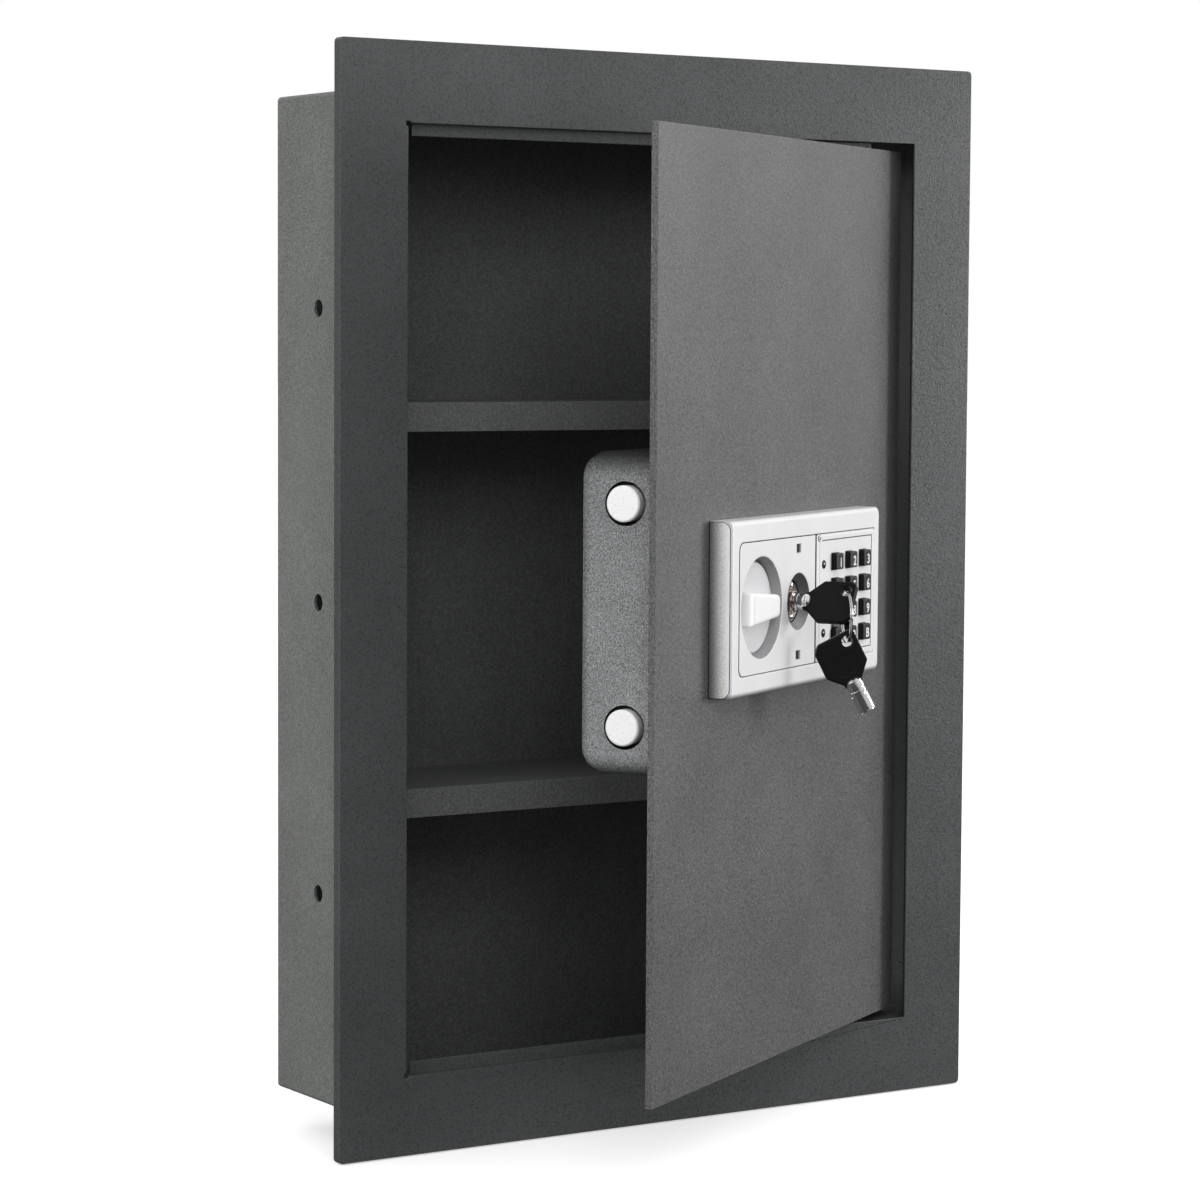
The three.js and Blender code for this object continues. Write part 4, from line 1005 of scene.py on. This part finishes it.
bow_outline = round_poly([(0, -BOW_W / 2 + 3.4), (3.4, -BOW_W / 2), (17.6, -BOW_W / 2), (BOW_LEN - 2.2, -5.0), (BOW_LEN, -4.4), (BOW_LEN, 4.4), (BOW_LEN - 2.2, 5.0), (17.6, BOW_W / 2), (2.0, BOW_W / 2), (0, BOW_W / 2 - 2.0)],
                         [1.6, 1.6, 2.2, 1.5, 0.5, 0.5, 1.5, 2.2, 1.2, 1.2], 5)


def bow_solid():
    h = BOW_T / 2
    lv = []
    for off, z in [(0.95, -h), (0.5, -h + 0.06), (0.2, -h + 0.26), (0.04, -h + 0.6), (0.0, -h + 0.9), (0.0, h - 0.9), (0.04, h - 0.6), (0.2, h - 0.26), (0.5, h - 0.06), (0.95, h)]:
        lv.append([(x, y, z) for x, y in offset_poly(bow_outline, off)])
    return loft(lv)


def hole_cut():
    lv = []
    for r, z in [(3.35, -3), (3.35, -BOW_T / 2 - 0.02), (2.98, -BOW_T / 2 + 0.2), (2.85, -BOW_T / 2 + 0.5), (2.85, BOW_T / 2 - 0.5), (2.98, BOW_T / 2 - 0.2), (3.35, BOW_T / 2 + 0.02), (3.35, 3)]:
        lv.append([(HS + r * math.cos(2 * math.pi * k / 56), HT + r * math.sin(2 * math.pi * k / 56), z) for k in range(56)])
    return loft(lv)


def recess_cut(sign):
    """Shallow panel sunk into the bow's face."""
    ol = round_poly([(9.6, -7.4), (17.2, -7.4), (20.4, -3.9), (20.4, 3.9), (17.2, 7.4), (11.4, 7.4), (9.6, 4.6)], 1.2, 4)
    h = BOW_T / 2
    lv = [[(x, y, sign * z) for x, y in offset_poly(ol, off)] for off, z in [(-0.05, h + 1.0), (-0.05, h + 0.02), (0.25, h - 0.07), (0.6, h - 0.10)]]
    return loft(lv)


for i, K in ((1, K1), (2, K2)):
    body = "key_one" if i == 1 else "key_two"
    bb = B()
    me = NODES["key_barrel_%d" % i].data
    inv = (K @ MM).inverted()
    co = np.array([(inv @ v.co)[:] for v in me.vertices])
    s0, s1 = co[:, 0].min(), co[:, 0].max()
    ob = new_object("key_bow_moulded_%d" % i, *bow_solid(), K @ MM, [M["black"]], 35)
    boolean(ob, [temp(hole_cut(), K @ MM), temp(recess_cut(1), K @ MM), temp(recess_cut(-1), K @ MM)])
    shade(ob, 35)
    soften(ob, 0)
    place(ob, body, ["key_bow_%d" % i])
    R = 4.1 if i == 1 else 4.55
    pr = [(2.8, s0 + 3.0), (2.8, s1 - 0.25), (3.05, s1), (R - 0.35, s1), (R - 0.08, s1 - 0.18), (R, s1 - 0.5), (R, s0 + 5.0), (R - 0.5, s0 + 4.7), (R - 0.5, s0 + 3.9), (R, s0 + 3.6), (R, s0 + 2.6), (R - 0.25, s0 + 2.3),
          (R - 0.25, s0 + 1.5), (R, s0 + 1.2), (R, s0 - 1.2), (R - 0.2, s0 - 1.6), (R - 0.2, s0 - 2.6), (R - 0.9, s0 - 3.6), (R - 2.0, s0 - 4.2), (0.0001, s0 - 4.4), (0.0001, s0 + 3.0)]
    ob = new_object("key_tube_%d" % i, *lathe_axis(pr, 72), K @ MM, [M["chrome"]], 30)
    cs = [temp(([(x, y, z) for x, y, z in box_vf(s1 - 2.2, s1 + 1, -0.7, 0.7, 2.0, 6.0)[0]], box_vf(0, 1, 0, 1, 0, 1)[1]), K @ MM)]
    for a in (45, 160, 250, 315):
        rot = Matrix.Rotation(math.radians(a), 4, "X")
        v, f = box_vf(s1 - 1.5, s1 + 1, -0.45, 0.45, 3.55, 6.0)
        cs.append(temp(([tuple(rot @ Vector(q)) for q in v], f), K @ MM))
    boolean(ob, cs)
    shade(ob, 30)
    soften(ob, 0)
    place(ob, body, ["key_barrel_%d" % i])

# split ring: two turns of flattened wire lying side by side
rn = ringax[2]
ru = Vector((0, 0, 1)) - rn * rn.z
ru.normalize()
rv = rn.cross(ru)
turns, wr, steps = 2.06, 0.34, 260
loops = []
for k in range(steps + 1):
    t = k / steps
    a = 2 * math.pi * turns * t + 2.2
    side = (t - 0.5) * 2
    off = 0.40 * max(-1, min(1, side * 3.2))
    c = ringc * 1000 + (ru * math.cos(a) + rv * math.sin(a)) * ring_r + rn * off
    rad = (ru * math.cos(a) + rv * math.sin(a))
    e = min(1.0, min(t, 1 - t) * steps / 1.5)
    loop = []
    for q in range(14):
        b = 2 * math.pi * q / 14
        ca, sa = math.cos(b), math.sin(b)
        p = 0.72
        ca, sa = math.copysign(abs(ca) ** p, ca), math.copysign(abs(sa) ** p, sa)
        loop.append(c + rad * (0.62 * ca * (0.55 + 0.45 * e)) + rn * (wr * sa * (0.55 + 0.45 * e)))
    loops.append(loop)
make("key_split_ring", loft(loops), MM, M["chrome"], "ring", ["key_ring"], smooth=50, weighted=False)

# ------------------------------------------------------------------ stage, light, camera
floor_z = cad_lo.z - 0.0006
S_ = 14.0
fme = bpy.data.meshes.new("floor")
fme.from_pydata([(-S_, -S_, floor_z), (S_, -S_, floor_z), (S_, S_ * 2, floor_z), (-S_, S_ * 2, floor_z)], [], [(0, 1, 2, 3)])
floor = bpy.data.objects.new("floor", fme)
bpy.context.scene.collection.objects.link(floor)
fm, nt, bs = base("floor_pale")
tc = N(nt, "ShaderNodeTexCoord")
n1 = noise(nt, tc, 3.0, 2.0)
lp = N(nt, "ShaderNodeLightPath")
nt.links.new(mix_rgb(nt, lp.outputs["Is Camera Ray"], mix_rgb(nt, lp.outputs["Is Glossy Ray"], (0.30, 0.30, 0.30, 1), (0.05, 0.05, 0.05, 1)), mix_rgb(nt, n1.outputs[0], (0.90, 0.90, 0.90, 1), (0.93, 0.93, 0.93, 1))), bs.inputs["Base Color"])
bs.inputs["Roughness"].default_value = 0.9
bs.inputs["Specular IOR Level"].default_value = 0.1
bs.inputs["Emission Color"].default_value = (1, 1, 1, 1)
nt.links.new(math_n(nt, "MULTIPLY", lp.outputs["Is Camera Ray"], 0.42), bs.inputs["Emission Strength"])
fme.materials.append(fm)

w = bpy.data.worlds.new("studio")
bpy.context.scene.world = w
w.use_nodes = True
nt = w.node_tree
bg = nt.nodes["Background"]
tc = N(nt, "ShaderNodeTexCoord")
sep = N(nt, "ShaderNodeSeparateXYZ")
L(nt, tc, "Generated", sep, 0)
lp = N(nt, "ShaderNodeLightPath")
strength = N(nt, "ShaderNodeMix", data_type="FLOAT")
nt.links.new(lp.outputs["Is Camera Ray"], strength.inputs[0])
nt.links.new(remap(nt, sep.outputs[2], -0.8, 0.8, 0.46, 0.80), strength.inputs[2])
strength.inputs[3].default_value = 1.0
gl = N(nt, "ShaderNodeMix", data_type="FLOAT")
nt.links.new(lp.outputs["Is Glossy Ray"], gl.inputs[0])
nt.links.new(strength.outputs[0], gl.inputs[2])
nt.links.new(math_n(nt, "MULTIPLY", remap(nt, sep.outputs[0], -0.75, 0.2, 0.10, 0.75), remap(nt, sep.outputs[2], -0.4, 0.5, 0.25, 1.0)), gl.inputs[3])
nt.links.new(gl.outputs[0], bg.inputs["Strength"])
bg.inputs["Color"].default_value = (1, 1, 1, 1)


def area(name, loc, target, size, power, size_y=None):
    d = bpy.data.lights.new(name, "AREA")
    d.energy, d.size = power, size
    if size_y:
        d.shape, d.size_y = "RECTANGLE", size_y
    o = bpy.data.objects.new(name, d)
    o.location = loc
    o.rotation_euler = (Vector(target) - Vector(loc)).to_track_quat("-Z", "Y").to_euler()
    bpy.context.scene.collection.objects.link(o)
    return o


def around(az, el, d=1.9):
    """Lamp place at an azimuth to the right of the front, an elevation and a distance from the safe."""
    az, el = math.radians(az), math.radians(el)
    return (0.05 + d * math.cos(el) * math.sin(az), -0.1 - d * math.cos(el) * math.cos(az), 0.1 + d * math.sin(el))


AIM = (0.05, -0.1, 0.1)
area("soft_right", around(61, 2), AIM, 0.6, 16.0)
area("soft_side", around(78, 18), AIM, 0.8, 4.2)
left = area("soft_left", (-2.4, -0.6, 0.25), (0, 0, 0), 1.6, 23)
left.visible_glossy = False
area("soft_rear_left", (-1.8, -0.3, 1.4), (0, 0, 0), 1.2, 4.7)
area("soft_camera", (-0.9, -2.0, 1.1), AIM, 1.0, 11)

f, yaw, pitch, roll = 3645.425, 0.570, 0.072, 0.006
cy, sy, cp, sp_, cr_, sr = math.cos(yaw), math.sin(yaw), math.cos(pitch), math.sin(pitch), math.cos(roll), math.sin(roll)
Rz = Matrix(((cy, -sy, 0), (sy, cy, 0), (0, 0, 1)))
Rb = Matrix(((1, 0, 0), (0, 0, -1), (0, 1, 0)))
Rx = Matrix(((1, 0, 0), (0, cp, -sp_), (0, sp_, cp)))
Rr = Matrix(((cr_, -sr, 0), (sr, cr_, 0), (0, 0, 1)))
R = Rr @ Rx @ Rb @ Rz
cam_d = bpy.data.cameras.new("camera")
cam_d.lens, cam_d.sensor_width = f / 1200 * 36, 36
cam = bpy.data.objects.new("camera", cam_d)
m = Matrix((R[0], -R[1], -R[2])).transposed().to_4x4()
m.translation = Vector((-1.0442, -1.65765, 0.132075))
cam.matrix_world = m
cam_d.clip_start, cam_d.clip_end = 0.05, 60
bpy.context.scene.collection.objects.link(cam)
bpy.context.scene.camera = cam
bpy.context.scene.view_settings.view_transform = "Standard"
